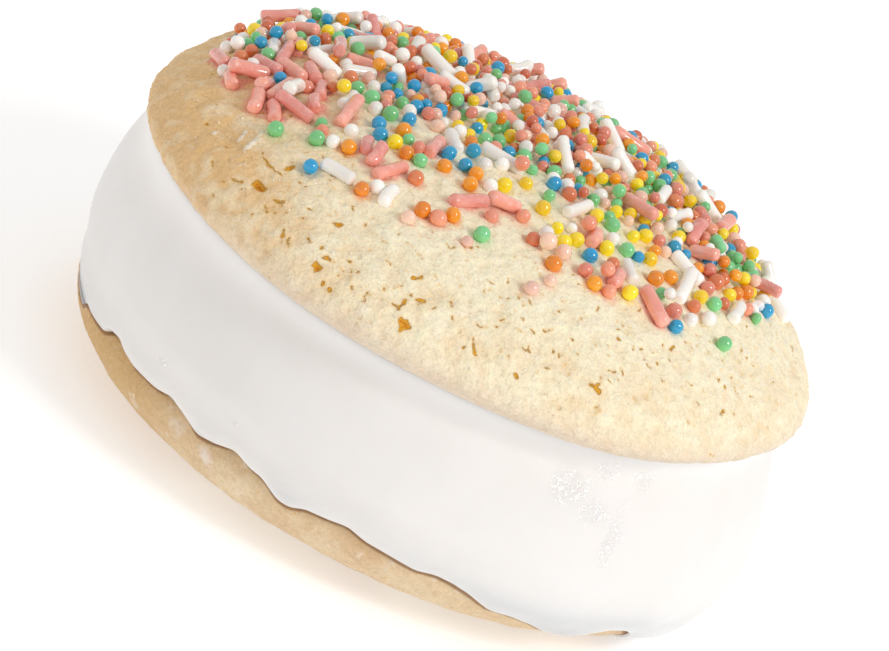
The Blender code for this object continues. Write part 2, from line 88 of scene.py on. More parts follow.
# Roundness of a cookie's dome and of its flat side, as powers of the share of its radius
DOME_POWER = 2.6
DOME_ROOT = 0.62
PRESSED_POWER = 4.0
PRESSED_ROOT = 0.55
FLAT_POWER = 8.0
FLAT_ROOT = 0.5

# Lumps of the baked dough
LUMP_HEIGHT = 0.28 * MM
LUMP_WIDTH = 8.0 * MM

# Ice cream wall: greatest radius, and its height, at the -X side and at the melted +X side
WALL_FIRM = (43.8 * MM, 17.0 * MM)
WALL_MELTED = (43.1 * MM, 9.7 * MM)
WALL_CURVE = 0.019 / MM
WALL_UNDERCUT = 0.030 / MM
WALL_RIPPLE, RIPPLES_ROUND, RIPPLE_HEIGHT = 0.12 * MM, 5, 4 * MM
LAP_HEIGHT = 3.0 * MM
LIP_THICKNESS = 0.55 * MM
LIP_MELTED_THICKNESS = 3.0 * MM
LIP_MELTED_COSINE, LIP_MELTED_BLEND = 0.8, 0.18

# How far the wall curves out to the upper cookie's rim, and from what height
COLLAR_SHARE = 0.5
COLLAR_INSIDE_RIM = 0.9 * MM
COLLAR_Z, COLLAR_HEIGHT = 24.5 * MM, 4.0 * MM

# Lower edge of the ice cream: angle in degrees about the origin, and height in millimetres
RUN_EDGE = (
    (-180, 8.0), (-170, 8.9), (-161, 7.6), (-153, 7.2), (-151, 8.4), (-148, 8.3), (-145, 8.5),
    (-141.5, 8.8), (-141, 9.7), (-137, 10.2), (-134.5, 9.5), (-132, 9.2), (-126, 9.4),
    (-122.5, 10.1), (-119.4, 9.5), (-116, 8.6), (-113, 9.1), (-109.4, 9.9), (-106, 9.2),
    (-104, 9.1), (-100.4, 7.9), (-98.2, 7.9), (-96.3, 8.6), (-92.3, 8.9), (-89.5, 9.2),
    (-86.3, 8.6), (-82.9, 8.4), (-77.8, 8.0), (-74.8, 8.4), (-71.9, 8.2), (-68.9, 7.7),
    (-64.7, 6.5), (-61, 6.5), (-57, 6.0), (-54, 5.2), (-49, 4.6), (-45.6, 6.2), (-43, 6.9),
    (-39, 6.8), (-36.5, 6.0), (-34, 3.2), (-28, 2.4), (-15, 1.6), (0, 1.2), (16, 1.6),
    (30, 2.6), (41, 5.6), (50, 4.9), (60, 7.3), (72, 6.4), (85, 8.6), (97, 7.7), (110, 9.2),
    (122, 8.3), (134, 9.4), (146, 8.5), (158, 9.3), (169, 7.8), (180, 8.0),
)
RUN_ROUNDING = math.radians(0.7)

# How much closer the points of a body stand on the -Y side, and how near two are one
NEAR_SIDE_CROWDING = 0.45
SEAM_REACH = 0.002 * MM

# Small bumps of the upper cookie, in three sizes: share of the height, width and seed
DOUGH_BUMPS = ((1.0, 3.8 * MM, 27.0), (1.0, 1.9 * MM, 5.0), (0.6, 0.95 * MM, 11.0))

# Sprinkles: the patch that they cover, about the upper cookie's centre
PATCH_CENTRE = (-2.0 * MM, 2.0 * MM)
PATCH_RADIUS = 34.0 * MM
PATCH_RAGGED, PATCH_RAGGED_WIDTH = 0.07, 7 * MM
CLUMP_WIDTH = 4 * MM
FRONT_Y = -10.0 * MM
FRONT_BLEND = 8.0 * MM
SINGLE_BELOW_Y = -3.0 * MM
SINGLE_HEIGHT = 0.9 * MM
SPRINKLE_SEED = 11
ROD_RADIUS = (0.72 * MM, 0.86 * MM)
ROD_LENGTH = (3.2 * MM, 5.6 * MM)
ROD_COUNT = 105
ROD_BEND = 0.35
ROD_LUMPS = {"soft": 0.12, "hard": 0.03}
CLOUDS = {"soft": 0.22, "hard": 0.03}
BALL_RADIUS = (0.66 * MM, 0.92 * MM)
BALL_SQUASH = (0.93, 1.06)
BALL_COUNT = 660
SUNK_SHARE = 0.42
PILE_HEIGHT = 1.8 * MM
GRID_CELL = 2 * MM
NESTLED = 0.96
TRIES = 40

# The sprinkles that stand clear enough to be listed one by one: centre from the upper cookie's
# centre in millimetres, a rod's heading in degrees and its length, and the colour
SEEN_RODS = (
    (-16.9, -26.9, -18, 4.2, "white"), (-10.8, -27.6, 85, 3.4, "white"),
    (-28.9, -17.0, -80, 4.2, "pink"), (-26.6, -18.4, -70, 3.6, "pink"),
    (-32.7, -12.4, -70, 3.4, "pink"), (-35.5, -6.2, -61, 4.2, "pink"),
    (-33.1, -8.3, -60, 3.2, "pink"), (-30.3, -7.3, -44, 4.6, "pink"),
    (-25.4, -6.7, -64, 4.0, "pink"), (-27.6, -7.6, -42, 4.8, "pink"),
    (-23.5, -10.6, -80, 3.8, "pink"), (-23.1, -14.6, -75, 3.0, "pink"),
    (-24.8, -17.3, -16, 5.0, "pink"), (-31.6, -11.0, 40, 5.2, "pink"),
    (-29.2, -13.4, 82, 3.8, "pink"), (-27.3, -13.2, 78, 5.4, "pink"),
    (-26.0, -14.0, 84, 5.0, "white"), (-31.0, -1.6, -80, 4.6, "white"),
    (-24.8, -4.9, -18, 4.4, "white"), (-28.7, 0.5, -82, 5.0, "pink"),
    (-26.1, 1.5, 62, 4.6, "white"), (-21.1, -2.0, 35, 4.2, "white"),
    (-20.3, -11.2, 83, 4.0, "white"), (-19.4, -14.6, 86, 6.4, "pink"),
    (-15.5, -20.4, -78, 3.2, "pink"), (-14.3, -22.2, 84, 3.2, "pink"),
    (-12.1, -23.2, 56, 4.6, "pink"), (-9.3, -14.3, 84, 4.4, "pink"),
    (-7.8, -10.9, -62, 4.2, "white"), (-2.2, -8.8, -6, 5.6, "white"),
    (-3.1, -22.4, 44, 5.0, "pink"), (0.3, -19.6, 38, 4.4, "pink"),
    (7.8, -11.4, 70, 5.6, "white"), (10.7, -15.3, 88, 3.2, "pink"),
    (14.7, -20.8, 88, 3.0, "pink"), (15.8, -17.6, -60, 3.6, "white"),
    (19.9, -20.6, -41, 5.2, "pink"), (21.7, -7.8, -28, 4.8, "white"),
    (22.2, -12.4, 88, 6.8, "white"), (28.9, -8.2, 86, 5.0, "white"),
    (31.0, -2.4, 80, 4.0, "white"), (31.4, 9.6, 24, 5.6, "white"),
    (33.3, 5.6, -34, 5.2, "white"),
)
SEEN_BALLS = {
    "blue": (
        (-19.7, -27.4, 1.8), (-15.1, -16.9, 1.8), (-15.9, -14.4, 1.7), (-13.3, -10.6, 1.7),
        (-7.6, -14.4, 1.8), (-5.4, -15.1, 1.7), (-5.4, -11.0, 1.8), (4.2, -8.7, 1.8),
        (11.2, -19.4, 1.8), (16.1, -13.0, 1.4), (23.0, -20.7, 1.7), (23.9, -2.1, 1.8),
        (32.4, 0.0, 1.8),
    ),
    "green": (
        (-25.2, -22.1, 1.8), (-20.8, -21.9, 1.8), (-21.3, -18.4, 1.4), (-9.9, -18.9, 1.7),
        (-12.2, -15.2, 1.4), (-15.4, -11.2, 1.9), (-20.2, -7.2, 1.7), (-18.2, -8.6, 1.9),
        (-0.2, -26.9, 2.0), (4.3, -12.1, 1.5), (12.0, -10.2, 1.8), (14.6, -13.6, 1.8),
        (20.0, -17.3, 1.4), (26.1, -10.8, 1.8), (28.8, -16.1, 1.8), (26.3, 1.6, 1.7),
        (27.2, 3.0, 1.7), (28.3, 4.6, 1.7), (29.6, 6.8, 1.7), (-33.9, -1.0, 1.7),
    ),
    "yellow": (
        (-13.3, -17.4, 1.8), (-0.6, -15.1, 1.8), (1.4, -12.2, 1.7), (4.3, -15.8, 1.9),
        (6.7, -17.8, 1.5), (9.1, -18.0, 1.8), (8.0, -19.9, 1.8), (12.5, -16.0, 1.8),
        (10.0, -10.2, 1.8), (17.4, -11.7, 1.8), (16.8, -21.7, 1.9), (24.3, -11.9, 1.8),
        (27.4, -5.6, 1.7), (-21.4, -10.8, 1.7), (15.9, -7.4, 1.8),
    ),
    "orange": (
        (-17.3, -21.8, 1.8), (-13.7, -28.3, 1.7), (-7.0, -27.6, 1.9), (-3.9, -26.2, 1.8),
        (-7.3, -17.8, 1.7), (-11.6, -18.7, 1.7), (-13.2, -13.6, 1.8), (-3.9, -18.9, 1.8),
        (-3.9, -16.0, 1.8), (8.0, -25.1, 1.9), (12.9, -24.2, 1.8), (18.8, -15.3, 1.9),
        (20.3, -12.4, 1.8), (29.2, -1.2, 1.8), (-32.2, -5.4, 1.7),
    ),
    "salmon": (
        (-5.1, -27.8, 2.0), (-20.8, -19.8, 1.5), (-0.2, -22.9, 1.6), (2.8, -19.7, 1.7),
        (11.4, -22.8, 1.7), (14.7, -23.6, 1.7), (13.5, -21.9, 1.7), (9.5, -15.0, 1.7),
        (22.1, -18.6, 1.8), (24.7, -8.6, 1.7), (0.0, -10.2, 1.8), (-10.8, -16.4, 1.6),
    ),
    "brick": (
        (-9.3, -22.8, 1.8), (4.9, -22.9, 1.7), (13.8, -18.9, 1.7), (24.0, -14.4, 1.7),
        (25.4, -5.6, 1.9), (6.2, -9.2, 1.8),
    ),
    "rose": (
        (-7.9, -29.9, 1.7), (-1.2, -29.2, 1.4), (6.4, -23.4, 2.0), (8.4, -22.0, 1.9),
        (8.5, -27.8, 1.5), (7.1, -30.5, 1.7), (-10.2, -9.0, 1.8),
    ),
    "white": (
        (-12.4, -27.0, 1.7), (-19.1, -21.6, 1.7), (-18.0, -18.5, 1.7), (-1.9, -16.9, 1.7),
        (-3.5, -12.8, 1.7), (5.9, -20.5, 1.8), (8.1, -16.1, 1.4), (12.7, -13.2, 1.7),
        (24.2, -17.5, 1.8), (26.1, -14.4, 1.8), (20.8, -18.1, 1.4), (-34.1, -10.3, 1.6),
        (-35.8, -2.2, 1.6),
    ),
}

# Chances of each ball colour on the -X side and on the +X side, and of a pink rod
BALL_CHANCES = {
    "blue": (11, 8), "green": (13, 11), "yellow": (8, 17), "orange": (12, 16),
    "salmon": (20, 19), "brick": (15, 10), "rose": (8, 7), "white": (13, 12),
}
PINK_ROD_CHANCES = (0.72, 0.30)
PINK_CORNER_X = -20.0 * MM
COLOUR_SEED = 4

# How much a sprinkle of each colour tints the dough round it: partly a stain, partly painted bounce
# light of its colour
DYE_STRENGTH = {
    "blue": 0.35, "green": 0.35, "yellow": 0.55, "orange": 0.75, "salmon": 0.7, "brick": 0.7,
    "rose": 0.6, "white": 0.0, "pink": 0.8,
}
DYE_REACH, DYE_WAVER, DYE_WAVER_WIDTH = 1.25 * MM, 0.45, 1.1 * MM

# Pits seen in the upper cookie, each a stroke: its two ends from the cookie's centre and its
# half width, in millimetres
SEEN_PITS = (
    (-23.9, -30.3, -23.0, -31.0, 0.40), (-21.8, -27.9, -21.5, -27.4, 0.30),
    (-25.0, -26.0, -23.8, -27.7, 0.11), (-23.8, -27.7, -22.2, -28.8, 0.17),
    (-29.2, -24.7, -28.8, -25.5, 0.17), (-26.4, -29.9, -25.4, -30.4, 0.15),
    (-32.3, -21.2, -31.9, -21.5, 0.14), (-27.4, -31.3, -27.1, -31.7, 0.13),
    (-29.3, -27.4, -29.2, -27.9, 0.11), (-22.6, -34.0, -22.4, -34.4, 0.11),
    (-21.7, -33.3, -21.4, -33.8, 0.11), (-21.3, -32.2, -20.3, -32.4, 0.12),
    (-20.4, -32.0, -20.2, -32.7, 0.12), (-20.5, -33.5, -20.4, -33.8, 0.12),
    (-19.5, -33.3, -19.3, -33.8, 0.10), (-18.7, -35.5, -18.5, -36.3, 0.15),
    (-17.9, -36.4, -17.4, -37.1, 0.13), (-15.9, -36.0, -15.7, -36.4, 0.13),
    (-17.6, -32.8, -17.2, -32.8, 0.13), (-14.1, -34.0, -13.7, -33.5, 0.24),
    (-15.0, -32.1, -14.5, -32.5, 0.10), (-14.0, -38.4, -13.6, -38.7, 0.34),
    (-13.8, -37.6, -12.5, -37.9, 0.13), (-14.2, -36.8, -14.0, -37.1, 0.12),
    (-12.6, -39.4, -12.5, -39.8, 0.14), (-13.8, -30.5, -13.4, -31.1, 0.12),
    (-20.9, -29.4, -20.5, -30.9, 0.09), (-4.3, -36.8, -3.5, -36.4, 0.22),
    (-3.4, -40.6, -2.6, -40.8, 0.40), (-3.1, -40.9, -3.0, -41.3, 0.22),
    (-4.0, -39.0, -4.2, -39.9, 0.16), (-5.0, -39.8, -4.0, -39.9, 0.12),
    (-3.8, -38.4, -3.7, -38.5, 0.18), (-3.0, -38.7, -2.2, -38.3, 0.14),
    (-7.8, -36.0, -7.2, -36.2, 0.15), (-5.4, -33.4, -5.1, -33.6, 0.13),
    (-9.3, -33.7, -8.6, -34.0, 0.12), (-11.9, -37.0, -10.9, -37.3, 0.10),
    (-11.5, -38.2, -11.1, -38.4, 0.12), (-11.5, -38.9, -11.3, -38.9, 0.10),
    (-10.4, -38.0, -10.3, -38.2, 0.11), (-9.6, -38.0, -9.5, -38.2, 0.11),
    (-9.6, -39.4, -9.4, -39.6, 0.15), (-11.7, -40.0, -11.2, -40.2, 0.15),
    (-7.8, -39.6, -7.6, -40.4, 0.11), (-6.7, -38.5, -6.5, -38.9, 0.12),
    (0.3, -36.7, 0.6, -37.4, 0.12), (1.1, -38.3, 1.5, -38.6, 0.11),
    (3.7, -37.6, 4.8, -37.3, 0.11), (4.1, -39.0, 5.2, -40.1, 0.14),
    (3.7, -40.2, 3.8, -40.0, 0.12), (6.4, -31.3, 6.4, -32.2, 0.15),
    (7.9, -34.3, 8.1, -34.6, 0.10), (9.1, -35.1, 9.6, -35.0, 0.12),
    (7.9, -35.8, 8.6, -35.9, 0.10), (9.6, -36.3, 9.9, -36.8, 0.13),
    (7.2, -38.4, 7.2, -38.7, 0.11), (8.2, -38.5, 8.5, -38.7, 0.11),
    (9.7, -39.5, 9.9, -39.6, 0.17), (17.3, -35.6, 18.3, -35.6, 0.25),
    (17.8, -34.3, 17.8, -35.4, 0.11), (18.5, -32.7, 19.0, -32.3, 0.14),
    (13.1, -32.6, 13.4, -32.6, 0.12), (12.2, -35.3, 12.3, -35.5, 0.15),
    (11.0, -33.6, 11.2, -33.4, 0.10), (14.5, -33.8, 14.6, -34.0, 0.10),
    (12.2, -37.4, 12.4, -37.2, 0.10), (17.2, -27.5, 17.4, -27.3, 0.20),
    (23.4, -23.7, 23.7, -22.9, 0.15), (29.7, -21.3, 29.9, -20.8, 0.14),
    (30.8, -20.5, 31.0, -20.9, 0.13), (31.7, -24.0, 31.9, -22.9, 0.15),
    (28.6, -26.2, 29.0, -26.1, 0.15), (32.4, -27.1, 33.3, -26.0, 0.06),
    (27.2, -25.3, 27.5, -25.0, 0.11), (22.8, -27.0, 22.9, -27.2, 0.10),
    (24.0, -28.6, 24.5, -28.5, 0.10), (14.3, -26.5, 14.4, -27.3, 0.09),
)
PIT_SEED = 23
PIT_COUNT = 800
PIT_SPREAD = (0.5, 0.985, 0.88)
PIT_LENGTH = (0.10 * MM, 0.6 * MM)
PIT_HALF_WIDTH = (0.03 * MM, 0.13 * MM)
PIT_DEPTH = 0.4 * MM

# Pale flakes of dough that stand up from the upper cookie, given like the pits
SEEN_FLAKES = (
    (-26.8, -25.6, -26.3, -22.9, 0.26), (-28.0, -24.2, -27.9, -22.5, 0.20),
    (-30.9, -23.2, -30.6, -22.6, 0.14), (-30.1, -23.9, -29.9, -23.6, 0.14),
)
FLAKE_HEIGHT = 0.5 * MM

# How much wider than its middle a pit or a flake is taken, the softness of its edge, and how
# unevenly its outline wanders: width and reach of each size of waver
STROKE_SPREAD = 1.15
STROKE_EDGE = 0.6 * MM
STROKE_WANDER = ((1.5 * MM, 0.28 * MM), (0.5 * MM, 0.17 * MM))

# Sugar grains that glint on the upper cookie, in millimetres from its centre, and a scatter
SEEN_GRAINS = (
    (27.5, -26.5), (29.3, -25.0), (32.0, -24.9), (33.9, -23.0), (26.4, -31.5), (24.6, -34.3),
    (21.3, -36.8), (11.1, -40.6), (13.6, -39.5), (18.1, -36.9),
)
GRAIN_COUNT = 260
GRAIN_SPREAD = (0.55, 0.975, 0.9)
GRAIN_SIDE = (0.5, 1.2)
GRAIN_SEED = 31

# Wet wrinkled places on the ice cream's wall, where painted highlights go on the ridges: angle in
# degrees about the origin and half width in degrees, with height and half height in millimetres
WET_PATCHES = (
    (-61.5, 22.6, 3.4, 2.0), (-56.5, 20.8, 2.6, 1.8), (-55.7, 25.2, 2.3, 1.3),
    (-48.0, 24.8, 2.8, 1.2), (-51.6, 18.2, 1.5, 3.6), (-111.5, 13.0, 1.6, 0.6),
    (-126.3, 12.8, 1.2, 0.5),
)
WET_RIPPLE = 0.09 * MM

# Painted light: the ice cream's wall glows under the rim, lifting the shade there where its own
# scattering falls short; its strength, and the height where the glow starts and over which it grows
RIM_GLOW = 0.16
GROOVE_Z, GROOVE_HEIGHT = 22 * MM, 6.5 * MM

# Pale smears of ice cream on the lower cookie: angle in degrees, height and size in millimetres
SMEARS = ((-119.7, 7.4, 1.3), (-113.6, 6.9, 0.9))

# Where the cookies turn darker towards -X, partly browning and partly painted shade of the side
# away from the light: how far towards -X it starts, and over what width it grows
BASE_BROWN = (-14 * MM, 20 * MM)
TOP_BROWN = (-9 * MM, 31 * MM)

# Camera, matched to the photograph: where it aims, how far off, and how far it looks down
AIM = (-0.66 * MM, -1.54 * MM, 18.59 * MM)
CAMERA_DISTANCE = 400 * MM
CAMERA_DOWN = math.radians(21.8)
CAMERA_ROLL = math.radians(28.1)
LENS = 139.75
CLIP_RANGE = (0.01, 20.0)

# Soft boxes: place in metres, side, and power in watts
LIGHTS = (
    ("key_box", (0.55, -0.30, 0.55), 0.26, 1.95),
    ("key_core", (0.50, -0.30, 0.60), 0.14, 0.7),
    ("fill_box", (-0.5, -0.6, 0.5), 0.8, 0.25),
)
WORLD_LIGHT, WORLD_COLOUR = 0.72, (1.0, 0.99, 0.975, 1.0)
FLOOR_GLOW, FLOOR_COLOUR = 0.42, (0.72, 0.72, 0.72, 1.0)


def linear(red, green, blue):
    """A screen colour, each part from 0 to 255, as Blender's linear values."""
    shares = [part / 255 for part in (red, green, blue)]
    return tuple(s / 12.92 if s <= 0.04045 else ((s + 0.055) / 1.055) ** 2.4 for s in shares)


# Shades of the upper cookie, beside the colours that the panel lists; the pale mottle partly paints
# light on the bumps' tops, and the pit and pore colours paint the warm light that the crumb
# scatters in its holes, with painted shade at a pit's floor
FLOURY, SOAKED, FLAKE = linear(250, 243, 228), linear(224, 204, 184), linear(250, 240, 224)
PIT_RIM, PIT_FLOOR, PORE = linear(238, 190, 104), linear(204, 122, 22), linear(224, 172, 84)

# Shades of the lower cookie, from pale to dark; the darkest lines the ice cream's edge, partly as
# painted contact shadow
BASE_FLOURY, BASE_SMEAR = linear(236, 222, 204), linear(238, 228, 222)
BASE_PATCH, BASE_MOTTLE = linear(214, 184, 146), linear(208, 172, 128)
BASE_WETTED, BASE_BROWNED = linear(212, 170, 122), linear(206, 168, 112)
BASE_SPECK, BASE_LINE = linear(200, 152, 96), linear(134, 88, 46)

# Shades of the ice cream and the sugar, with the white of the painted highlights on the wet ridges
# and the colour of the painted glow
CREAM_CLOUD, CREAM_WET = linear(230, 227, 224), linear(226, 223, 221)
RIDGE, GLOW = linear(255, 255, 255), linear(255, 250, 250)
CLOUDY_SUGAR = linear(255, 226, 214)
CRYSTAL_PALE, CRYSTAL_TAN = linear(252, 246, 234), linear(238, 222, 196)
BLACK = (0.0, 0.0, 0.0)


def colour_property(name, description, default):
    return bpy.props.FloatVectorProperty(
        name=name, description=description, subtype="COLOR", size=3, min=0.0, max=1.0,
        default=default,
    )


def length_property(name, description, default, low=0.0):
    return bpy.props.FloatProperty(
        name=name, description=description, unit="LENGTH", default=default, min=low, max=1.0 * MM,
    )


class SandwichSizes(bpy.types.PropertyGroup):
    """Sizes of the surface detail."""

    grain_height: length_property("Grain height", "Height of the dough's fine grain", 0.045 * MM)
    bump_height: length_property("Bump height", "Height of the dough's small bumps", 0.24 * MM)
    cream_ripple: length_property("Cream ripple", "Height of the ice cream's waves", 0.10 * MM)
    crystal_size: length_property("Crystal size", "Side of a sugar crystal", 0.20 * MM, 0.05 * MM)


class SandwichColours(bpy.types.PropertyGroup):
    """Colours of the dough, the ice cream and the sprinkles."""

    dough: colour_property("Dough", "Pale dough of the upper cookie", linear(250, 238, 208))
    dough_tan: colour_property("Tan dough", "Browned dough", linear(232, 193, 140))
    # Painted light: the warm light that the crumb scatters in its pits and pores
    dough_pit: colour_property("Pit", "Inside of a pit in the dough", linear(228, 164, 48))
    dough_base: colour_property("Lower dough", "Dough of the lower cookie", linear(226, 206, 172))
    cream: colour_property("Ice cream", "Vanilla ice cream", linear(232, 229, 227))
    blue: colour_property("Blue", "Blue balls", linear(0, 158, 202))
    green: colour_property("Green", "Green balls", linear(122, 204, 134))
    yellow: colour_property("Yellow", "Yellow balls", linear(252, 214, 4))
    orange: colour_property("Orange", "Orange balls", linear(242, 146, 6))
    salmon: colour_property("Salmon", "Salmon balls", linear(232, 144, 120))
    brick: colour_property("Brick", "Brick-red balls", linear(216, 114, 74))
    rose: colour_property("Rose", "Pale rose balls", linear(242, 198, 178))
    white: colour_property("White", "White balls and rods", linear(250, 245, 238))
    pink: colour_property("Pink", "Pink rods", linear(238, 156, 142))


def sizes():
    return bpy.context.scene.sandwich_sizes


def colours():
    return bpy.context.scene.sandwich_colours


# Shapes of the dough and the ice cream

def wobble(angle, waves):
    """Uneven outline of a hand-shaped round: how far it stands out at this angle."""
    return sum(height * math.cos(lobes * angle + phase) for lobes, height, phase in waves)


def smooth(value):
    value = min(1.0, max(0.0, value))
    return value * value * (3 - 2 * value)


def lumps(x, y, seed):
    """Height of the baked lumps at a point of the dough."""
    wide = noise.noise(Vector((x / LUMP_WIDTH, y / LUMP_WIDTH, seed)))
    fine = noise.noise(Vector((2.3 * x / LUMP_WIDTH, 2.3 * y / LUMP_WIDTH, seed + 7)))
    return LUMP_HEIGHT * (wide + 0.5 * fine)


def dome_share(share, power, root):
    """1 in the middle of a dome and 0 at its edge, for a point at this share of the radius."""
    return max(0.0, 1.0 - min(1.0, share) ** power) ** root


def top_radius(angle):
    """Radius of the upper cookie, which swells out in one place on its near side."""
    swell = TOP_SWELL * math.exp(-(((angle - SWELL_ANGLE) / SWELL_WIDTH) ** 2))
    return TOP_RADIUS + wobble(angle, TOP_WOBBLE) + swell


def from_cookie_centre(x, y):
    """A place given in millimetres from the upper cookie's centre."""
    return x * MM + TOP_CENTRE[0], y * MM + TOP_CENTRE[1]


def top_share(x, y):
    """Share of the upper cookie's own radius at which a point lies."""
    dx, dy = x - TOP_CENTRE[0], y - TOP_CENTRE[1]
    return math.hypot(dx, dy) / top_radius(math.atan2(dy, dx))


def dome_height(x, y):
    """Height of the upper cookie's domed face."""
    share = top_share(x, y)
    rise = (TOP_DOME_Z - TOP_WIDEST_Z) * dome_share(share, DOME_POWER, DOME_ROOT)
    return TOP_WIDEST_Z + rise + lumps(x, y, 3.0) * smooth((1.0 - share) * 8)


def underside_height(x, y):
    """Height of the upper cookie's flat face, which turns up at its rim."""
    flat = (TOP_WIDEST_Z - TOP_UNDERSIDE_Z) * dome_share(top_share(x, y), FLAT_POWER, FLAT_ROOT)
    return TOP_WIDEST_Z - flat


def base_profile(angle, share_down):
    """Radius and height on the lower cookie, from 0 at its top centre to 1 at its lowest."""
    radius = BASE_RADIUS + wobble(angle, BASE_WOBBLE)
    share = 1 - (1 - 2 * share_down) ** 2
    if share_down < 0.5:
        rise = (BASE_TOP_Z - BASE_WIDEST_Z) * dome_share(share, FLAT_POWER, FLAT_ROOT)
        return share * radius, BASE_WIDEST_Z + rise
    depth = BASE_WIDEST_Z + BASE_PRESSED
    height = max(0.0, BASE_WIDEST_Z - depth * dome_share(share, PRESSED_POWER, PRESSED_ROOT))
    place = Vector((math.cos(angle), math.sin(angle), height / radius)) * (radius / LUMP_WIDTH)
    lump = LUMP_HEIGHT * noise.noise(place) * smooth(height / (2 * MM)) * smooth(8 * share_down - 4)
    return share * radius + lump, height


def beside_base(angle, share_down, distance):
    """Point at this distance outside the lower cookie's surface, as radius and height."""
    step = 0.004
    r0, z0 = base_profile(angle, share_down - step)
    r1, z1 = base_profile(angle, share_down + step)
    radius, height = base_profile(angle, share_down)
    length = math.hypot(r1 - r0, z1 - z0)
    return radius - distance * (z1 - z0) / length, height + distance * (r1 - r0) / length


def run_height(angle):
    """Height of the ice cream's lower edge at this angle, with its corners rounded."""
    angles, heights = zip(*RUN_EDGE)
    turns = [math.degrees(angle + RUN_ROUNDING * step) for step in (-1, -0.5, 0, 0.5, 1)]
    turns = [(turn + 180) % 360 - 180 for turn in turns]
    return float(np.interp(turns, angles, heights).mean()) * MM


def share_at_height(angle, height):
    """How far down the lower cookie's side it reaches this height."""
    low, high = 0.1, 0.8
    for _ in range(16):
        middle = (low + high) / 2
        if base_profile(angle, middle)[1] > height:
            low = middle
        else:
            high = middle
    return low


def melt(angle):
    """0 on the firm -X side, 1 on the melted +X side."""
    return smooth(0.5 + 0.5 * math.cos(angle))


def wall_radius(angle, height):
    """Radius of the ice cream's bulging wall."""
    soft = melt(angle)
    widest = WALL_FIRM[0] + (WALL_MELTED[0] - WALL_FIRM[0]) * soft
    at = WALL_FIRM[1] + (WALL_MELTED[1] - WALL_FIRM[1]) * soft
    curve = WALL_CURVE + (WALL_UNDERCUT * soft if height < at else 0.0)
    ripple = WALL_RIPPLE * math.sin(RIPPLES_ROUND * angle + height / RIPPLE_HEIGHT)
    wall = widest - curve * (height - at) ** 2 + ripple
    rim = TOP_RADIUS + TOP_CENTRE[0] * math.cos(angle) + TOP_CENTRE[1] * math.sin(angle)
    out_to_rim = COLLAR_SHARE * max(0.0, rim - COLLAR_INSIDE_RIM - wall)
    return wall + out_to_rim * smooth((height - COLLAR_Z) / COLLAR_HEIGHT)


def lip_thickness(angle):
    """How far the run of ice cream stands out from the lower cookie, most where it melted."""
    soft = smooth((math.cos(angle) - LIP_MELTED_COSINE) / LIP_MELTED_BLEND)
    return LIP_THICKNESS + (LIP_MELTED_THICKNESS - LIP_THICKNESS) * soft


def shoulder(angle):
    """Radius and height at which the wall meets the upper cookie's rim."""
    low, high = TOP_UNDERSIDE_Z + SUNK, TOP_WIDEST_Z
    for _ in range(20):
        middle = (low + high) / 2
        radius = wall_radius(angle, middle)
        if middle < underside_height(radius * math.cos(angle), radius * math.sin(angle)) + SUNK:
            low = middle
        else:
            high = middle
    return wall_radius(angle, low), low


def ice_section(angle):
    """Radius and height down the ice cream: out under the upper cookie to the shoulder, down
    the wall to the rounded lip, and back in over the lower cookie."""
    cos, sin = math.cos(angle), math.sin(angle)
    rim_radius, rim_z = shoulder(angle)
    edge_z, lip = run_height(angle), lip_thickness(angle)
    section = []
    for share in ICE_UPPER:
        radius = share * rim_radius
        section.append((radius, min(rim_z, underside_height(radius * cos, radius * sin) + SUNK)))
    low_z, lapped_z = edge_z + 0.3 * lip, BASE_TOP_Z + LAP_HEIGHT
    sides = [share_at_height(angle, low_z + (BASE_WIDEST_Z - low_z) * k / 4) for k in range(5)]
    for share in ICE_WALL:
        height = rim_z + (low_z - rim_z) * share
        wall = wall_radius(angle, height)
        place = 4 * (min(height, BASE_WIDEST_Z) - low_z) / (BASE_WIDEST_Z - low_z)
        down = np.interp(place, range(5), sides) if low_z < BASE_WIDEST_Z else 0.5
        lapped = min(wall, base_profile(angle, down)[0] + LAP_GAP + lip)
        share_in = smooth((lapped_z - height) / (lapped_z - low_z))
        section.append((wall + (lapped - wall) * share_in, height))
    inner = share_at_height(angle, edge_z + 0.15 * lip)
    back = beside_base(angle, inner, LAP_GAP)
    out = section[-1]
    for turn in LIP_TURNS:
        radius = out[0] + (back[0] - out[0]) * 0.5 * (1 - math.cos(turn))
        level = out[1] if turn < math.pi / 2 else back[1]
        section.append((radius, level + (edge_z - level) * math.sin(turn)))
    for share in ICE_BACK:
        section.append(beside_base(angle, ICE_LOWER[0] + (inner - ICE_LOWER[0]) * share, LAP_GAP))
    for share_down in ICE_LOWER:
        section.append(beside_base(angle, share_down, LAP_GAP))
    return section


def base_section(angle):
    return [base_profile(angle, share_down) for share_down in BASE_DOWN]


def as_outline(section):
    """Turns a function that gives radius and height into one that gives points."""

    def outline(angle):
        cos, sin = math.cos(angle), math.sin(angle)
        return [(radius * cos, radius * sin, height) for radius, height in section(angle)]

    return outline


def top_outline(angle):
    """Points of the upper cookie's section, over its dome and back under its flat face."""
    reach = top_radius(angle)
    cos, sin = reach * math.cos(angle), reach * math.sin(angle)
    points = []
    for outs, height_at in ((TOP_OVER, dome_height), (TOP_UNDER, underside_height)):
        for out in outs:
            x, y = TOP_CENTRE[0] + out * cos, TOP_CENTRE[1] + out * sin
            points.append((x, y, height_at(x, y)))
    return points


def even_stations(profile, start, end, count):
    """Shares from start to end that lie evenly along profile(share), a radius and a height."""
    shares = np.linspace(start, end, 2000)
    points = np.array([profile(share) for share in shares])
    runs = np.hypot(*np.diff(points, axis=0).T).cumsum()
    return np.interp(np.linspace(0, runs[-1], count), np.append(0.0, runs), shares).tolist()


